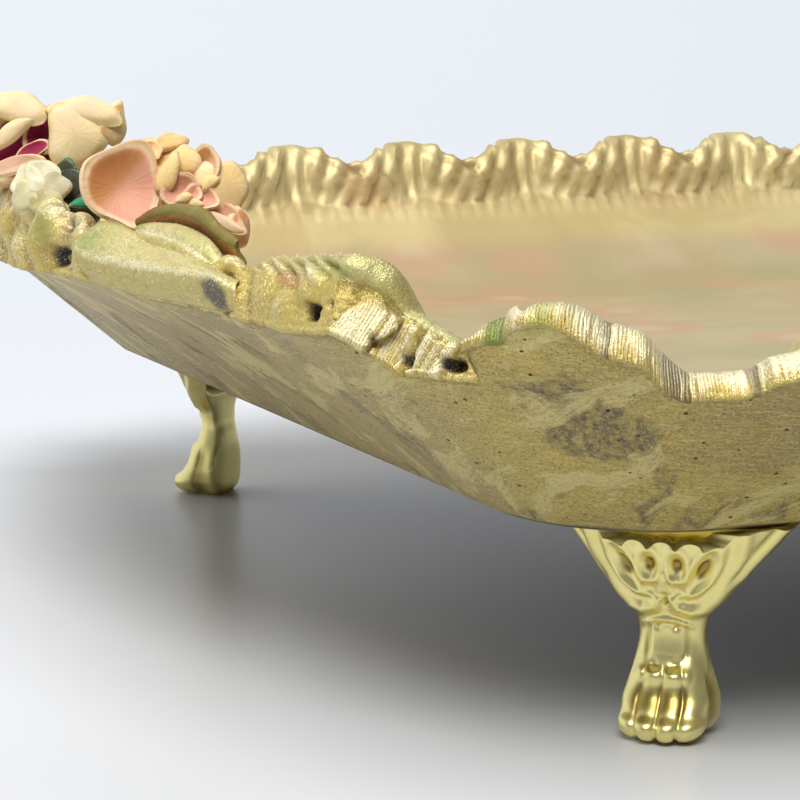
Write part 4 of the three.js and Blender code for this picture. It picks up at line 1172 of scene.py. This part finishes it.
def plated(tones):
    """Polished champagne plating, with painted shade in its hollows, a painted dark reflection on the toes, and a
    painted yellow reflection inside the fan.
    """
    net = Net("champagne_plating")
    cloud = net.noise(net.point(), 160, 3)
    well_reflection = net.read("well_reflection")
    colour = net.coat(tones.plating, PLATING_HOLLOW_SHADE, 0.85, net.read("relief"), 0.05, -0.6)
    # Painted reflection: bright yellow and less metallic inside the fan, for the light reflected in the gold hollow.
    colour = net.blend(well_reflection, colour, PLATING_WELL_REFLECTION)
    return net.surface(Base_Color=colour, Metallic=1 - 0.6 * well_reflection, Roughness=0.26 + 0.12 * cloud,
                       Normal=net.bump(cloud, 0.0002, 0.25))


def screw_metal():
    """Brass-washed steel, with painted shade in the cross."""
    net = Net("brass_washed_steel")
    wear = net.noise(net.point(), 900, 3)
    colour = net.blend(net.read("dent"), WASHED_STEEL, STEEL_CROSS_SHADE)
    return net.surface(Base_Color=colour, Metallic=1.0, Roughness=0.25 + 0.25 * wear)


def petal_paint(name, inner, outer, pale, rim, shade, tones):
    """Hand-painted petals: deep colour in the hollows, painted shade under the upper rim and on the backs, pale
    rims and folds, faint streaks and golden touches on the rims."""
    net = Net(name)
    place = net.point()
    brush = net.noise(place, 260, 4, 0.6, 0.6)
    cloud = net.noise(place, 110, 3)
    edge, tint = net.read("edge"), net.read("tint")
    spoke = net.add("ShaderNodeCombineXYZ", {}, {"X": net.read("spoke_x"), "Y": net.read("spoke_y"), "Z": tint})
    streak = net.step(net.noise(spoke, 6.0, 3, 0.7), 0.42, 0.62)
    colour = net.coat(inner, outer, 0.7, brush, 0.40, 0.66)
    folds = net.blend(net.step(cloud, 0.36, 0.56), rim, pale)
    colour = net.blend(net.step(tint + 0.4 * (cloud - 0.5), 0.1, 0.9), colour, folds)
    # Painted shade, in the shade colour, where the ochre value is high.
    colour = net.coat(colour, shade, 0.68, net.read("ochre") + 0.5 * (brush - 0.5), 0.2, 0.9)
    rim_paint = net.coat(rim, tones.cream, 0.5, brush, 0.45, 0.65)
    colour = net.coat(colour, rim_paint, 0.85, edge + 0.5 * (brush - 0.5), 0.25, 0.8)
    colour = net.blend(streak * 0.12, colour, net.blend(0.5, colour, shade))
    touched = net.step(edge + 0.7 * (brush - 0.5), 0.45, 0.95) * net.step(cloud, 0.44, 0.60)
    colour = net.blend(touched * 0.45, colour, net.blend(0.55, tones.bright_gold, shade))
    return net.surface(Base_Color=colour, Roughness=0.5 + 0.2 * brush, Specular_IOR_Level=0.35,
                       Normal=net.bump(brush + 0.2 * streak, 0.0003, 0.5))


def leaf_paint(name, body, touch, below, metal, tones):
    """Painted leaf: body colour with touches of another, a deeper lower facet, gold in the veins, fine lines, charcoal
    smudges and painted glints in the grain and along the ridge."""
    net = Net(name)
    place = net.point()
    brush = net.noise(place, 200, 4, 0.6)
    grain = net.noise(place, 2700, 2, 0.7)
    lines = net.noise(net.point((0, 0.5, 0), (1, 0.2, 1)), 1300, 3, 0.6)
    colour = net.blend(net.step(net.noise(place, 90, 3) + net.read("shade") - 0.5, 0.15, 0.6), body, touch)
    colour = net.coat(colour, below, 0.7, net.read("low") + 0.5 * (brush - 0.5), 0.3, 0.9)
    colour = net.coat(colour, tones.pale_gold, 0.25, brush, 0.55, 0.72)
    colour = net.coat(colour, tones.gold, 0.15, net.read("veins"), -0.3, -0.9)
    colour = net.coat(colour, LEAF_GRAIN, 0.6 * metal, grain, 0.46, 0.36)
    colour = net.coat(colour, net.blend(0.6, colour, LEAF_LINES), 0.35, lines, 0.50, 0.36)
    smudge = net.read("smudge") + 1.5 * (brush - 0.5) + 0.8 * (grain - 0.5)
    colour = net.coat(colour, tones.patina, 0.9, smudge, 0.25, 0.7)
    # Painted glints, strongest along the ridge.
    painted_sparkle = grain + 0.16 * net.read("ridge") + 0.3 * (brush - 0.5)
    colour = net.coat(colour, LEAF_PAINTED_GLINTS, 1.1 * metal, painted_sparkle, 0.57, 0.68)
    return net.surface(Base_Color=colour, Metallic=metal, Roughness=0.36 + 0.25 * brush,
                       Normal=net.bump(brush + 0.6 * grain + 1.2 * lines, 0.00022, 0.6))


# Operators


class Maker(bpy.types.Operator):
    """Shared parts of the tray's operators."""

    bl_options = {"REGISTER", "UNDO"}


class TRAY_OT_casting(Maker):
    """Builds the casting, its ribbed rims and its carved ends"""

    bl_idname = "tray.casting"
    bl_label = "Casting"

    def execute(self, context):
        sizes, tones = context.scene.tray_sizes, context.scene.tray_colours
        casting_skin(sizes).piece("casting", gilt_casting(tones), "tray_casting", "gilt_resin")
        finish = ribbed_gold(tones)
        for side in SIDES:
            band_skin(sizes, side).piece(f"ribbed_rim_{side}", finish, "tray_casting", "gilt_resin")
        for end in ENDS:
            end_skin(sizes, end).piece(f"carved_edge_{end}", finish, "tray_casting", "gilt_resin")
        return {"FINISHED"}


class TRAY_OT_feet(Maker):
    """Builds the paw feet"""

    bl_idname = "tray.feet"
    bl_label = "Feet"

    def execute(self, context):
        sizes = context.scene.tray_sizes
        finish = plated(context.scene.tray_colours)
        half_x, half_y = sizes.foot_spacing_x / 2 / MM, sizes.foot_spacing_y / 2 / MM
        for side, way_y in SIDES.items():
            for end, way_x in ENDS.items():
                position = np.array([way_x * half_x, way_y * half_y, 0])
                skin = foot_skin(position, math.atan2(way_y, way_x), sizes.foot_height / MM)
                skin.piece(f"paw_foot_{side}_{end}", finish, f"{side}_{end}_foot", "plated_metal")
        return {"FINISHED"}


class TRAY_OT_screws(Maker):
    """Builds the screws of the feet"""

    bl_idname = "tray.screws"
    bl_label = "Screws"

    def execute(self, context):
        finish = screw_metal()
        for side in SIDES:
            for end in ENDS:
                for number in (1, 2):
                    node = f"{side}_{end}_foot_screw_{number}"
                    low, high = (np.array(corner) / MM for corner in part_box(node))
                    position = np.append((low[:2] + high[:2]) / 2, low[2] + SCREW_HEAD)
                    screw_skin(position).piece(f"screw_{side}_{end}_{number}", finish, node, "screw_steel")
        return {"FINISHED"}


class TRAY_OT_roses(Maker):
    """Builds the roses on both ends"""

    bl_idname = "tray.roses"
    bl_label = "Roses"

    def execute(self, context):
        tones = context.scene.tray_colours
        middle = petal_paint("burgundy_rose", tones.burgundy, (0.40, 0.015, 0.12), (0.90, 0.67, 0.40), tones.cream,
                             tones.ochre, tones)
        outer = petal_paint("peach_rose", tones.peach, (0.74, 0.41, 0.27), (0.95, 0.68, 0.29), (0.94, 0.70, 0.46),
                            tones.ochre, tones)
        for end in ENDS:
            node = f"{end}_centre_rose"
            like_side = "front" if end == "left" else "back"
            skin = flower_skin(node, end, like_side, BURGUNDY_HEARTS, BURGUNDY_PETALS, (8.0, 5.6))
            skin.piece(f"rose_{end}_middle", middle, node, "burgundy_rose")
            for side in SIDES:
                node = f"{end}_{side}_rose"
                skin = flower_skin(node, end, side, PEACH_HEARTS, PEACH_PETALS, (7.0, 5.2))
                skin.piece(f"rose_{end}_{side}", outer, node, "peach_rose")
        return {"FINISHED"}


class TRAY_OT_blossoms(Maker):
    """Builds the small blossoms between the roses"""

    bl_idname = "tray.blossoms"
    bl_label = "Blossoms"

    def execute(self, context):
        tones = context.scene.tray_colours
        # Olive painted shade in the gaps between the blossoms' petals.
        finish = petal_paint("cream_blossom", tones.white, (0.82, 0.79, 0.60), (0.72, 0.62, 0.28), (0.80, 0.76, 0.54),
                             (0.30, 0.26, 0.09), tones)
        for end in ENDS:
            for side in SIDES:
                node = f"{end}_{side}_blossom"
                skin = flower_skin(node, end, side, BLOSSOM_HEARTS, BLOSSOM_PETALS)
                skin.piece(f"blossom_{end}_{side}", finish, node, "cream_blossom")
        return {"FINISHED"}


class TRAY_OT_leaves(Maker):
    """Builds the leaves on both ends"""

    bl_idname = "tray.leaves"
    bl_label = "Leaves"

    def execute(self, context):
        sizes, tones = context.scene.tray_sizes, context.scene.tray_colours
        green = leaf_paint("green_leaf", tones.leaf_green, (0.25, 0.12, 0.03), (0.48, 0.17, 0.055), 0.0, tones)
        # Near black stands in for the shade in the gap between the flowers; the emerald touches are the leaves' own
        # paint.
        dark = petal_paint("dark_leaf_gap_shade", (0.02, 0.025, 0.012), (0.05, 0.055, 0.02), tones.emerald, (0.03, 0.16, 0.08),
                           tones.ochre, tones)
        gilt = leaf_paint("gilt_leaf", tones.leaf_gold, (0.44, 0.45, 0.14), (0.50, 0.40, 0.12), 0.5, tones)
        half_lap = 2 * Rim(np.zeros(1), sizes).quarter
        for end in ENDS:
            start = half_lap if end == "left" else 0.0
            for side in SIDES:
                way = SIDES[side] * ENDS[end]
                skin = Skin()
                sheet(skin, sizes, start, way, GILT_LEAF, 1.6, 0.1, 1.0)
                sheet(skin, sizes, start, way, GILT_LOBE, 1.4, 0.25, 0.0)
                skin.piece(f"rim_leaf_{end}_{side}", gilt, f"{end}_{side}_rim_leaf", "gilt_leaf")
                skin = Skin()
                sheet(skin, sizes, start, way, SEPAL, 1.4, 0.0, 0.0)
                skin.piece(f"rose_leaf_{end}_{side}", green, f"{end}_{side}_rose_leaf", "green_leaf")
                node = f"{end}_{side}_gap_leaf"
                skin = flower_skin(node, end, side, GAP_HEARTS, GAP_PETALS)
                skin.piece(f"gap_leaf_{end}_{side}", dark, node, "green_leaf")
        return {"FINISHED"}


TABLE_REACH = 30.0
FAR_TABLE = (0.60, 0.63, 0.67)
TABLE_CLOUDS = (0.58, 0.59, 0.62)
SKY = (0.94, 0.96, 1.0)
SKY_BEHIND = (-0.4, 0.9, 0)
# Suns: name, where each shines from, its width as an angle, its strength.
SUNS = (("high_sun", (-0.15, -0.35, 1.0), 0.9, 2.15), ("front_sun", (-0.6, -1.0, 1.45), 0.45, 1.85))
EYE = (-0.34917, -0.46449, 0.11816)
EYE_DOWN = 9.251
EYE_RIGHT = 23.157
LENS = 125.06
SENSOR = 36


class TRAY_OT_stage(Maker):
    """Makes the table, the light and the camera"""

    bl_idname = "tray.stage"
    bl_label = "Stage"

    def execute(self, context):
        scene = context.scene
        scene.view_settings.view_transform = "Standard"
        mesh = bpy.data.meshes.new("table")
        corners = [(x * TABLE_REACH, y * TABLE_REACH, 0) for x, y in ((-1, -1), (1, -1), (1, 1), (-1, 1))]
        mesh.from_pydata(corners, [], [(0, 1, 2, 3)])
        table = placed("table", mesh)
        net = Net("pale_table")
        place = net.point()
        away = net.add("ShaderNodeSeparateXYZ", {}, {"Vector": place}, output="Y")
        colour = net.blend(net.step(away, 0.0, 0.6), scene.tray_colours.table, FAR_TABLE)
        colour = net.blend(net.noise(place, 3, 2) * 0.1, colour, TABLE_CLOUDS)
        mesh.materials.append(net.surface(Base_Color=colour, Roughness=0.3, Specular_IOR_Level=0.12))
        sky = Net("soft_white", "worlds")
        way = sky.add("ShaderNodeTexCoord", output="Generated")
        behind = sky.add("ShaderNodeVectorMath", {"operation": "DOT_PRODUCT"}, {0: way, 1: SKY_BEHIND}, output="Value")
        rays = [sky.add("ShaderNodeLightPath", output=f"Is {ray} Ray") for ray in ("Camera", "Glossy", "Transmission")]
        seen = rays[0] + rays[1] + rays[2]
        light = 0.03 + 0.22 * seen + sky.step(behind, 0.0, 0.8) * (1.3 - 0.64 * seen)
        shader = sky.add("ShaderNodeBackground", {}, {"Color": SKY, "Strength": light})
        scene.world = sky.end(shader, "ShaderNodeOutputWorld")
        for name, spot, wide, power in SUNS:
            lamp = bpy.data.lights.new(name, "SUN")
            lamp.angle, lamp.energy = wide, power
            tilt = math.acos(spot[2] / np.linalg.norm(spot))
            placed(name, lamp).rotation_euler = (tilt, 0, math.atan2(-spot[1], -spot[0]) - math.pi / 2)
        camera = bpy.data.cameras.new("camera")
        camera.sensor_width, camera.lens, camera.clip_start = SENSOR, LENS, 0.02
        eye = placed("camera", camera)
        eye.location = EYE
        eye.rotation_euler = (math.radians(90 - EYE_DOWN), 0, math.radians(-EYE_RIGHT))
        scene.camera = eye
        return {"FINISHED"}


class TRAY_PT_sidebar(bpy.types.Panel):
    """Lists the tray's operators, sizes and colours"""

    bl_label = "Tray"
    bl_space_type = "VIEW_3D"
    bl_region_type = "UI"
    bl_category = "Tray"

    def draw(self, context):
        for maker in MAKERS:
            self.layout.operator(maker.bl_idname)
        for group in (context.scene.tray_sizes, context.scene.tray_colours):
            for key in group.__annotations__:
                self.layout.prop(group, key)


MAKERS = (TRAY_OT_stage, TRAY_OT_casting, TRAY_OT_feet, TRAY_OT_screws, TRAY_OT_roses, TRAY_OT_blossoms,
          TRAY_OT_leaves)
CLASSES = (TraySizes, TrayColours) + MAKERS + (TRAY_PT_sidebar,)


def register():
    for made in CLASSES:
        bpy.utils.register_class(made)
    bpy.types.Scene.tray_sizes = PointerProperty(type=TraySizes)
    bpy.types.Scene.tray_colours = PointerProperty(type=TrayColours)


def unregister():
    del bpy.types.Scene.tray_colours
    del bpy.types.Scene.tray_sizes
    for made in reversed(CLASSES):
        bpy.utils.unregister_class(made)


def main():
    register()
    for maker in MAKERS:
        group, name = maker.bl_idname.split(".")
        getattr(getattr(bpy.ops, group), name)()


if __name__ == "__main__":
    main()
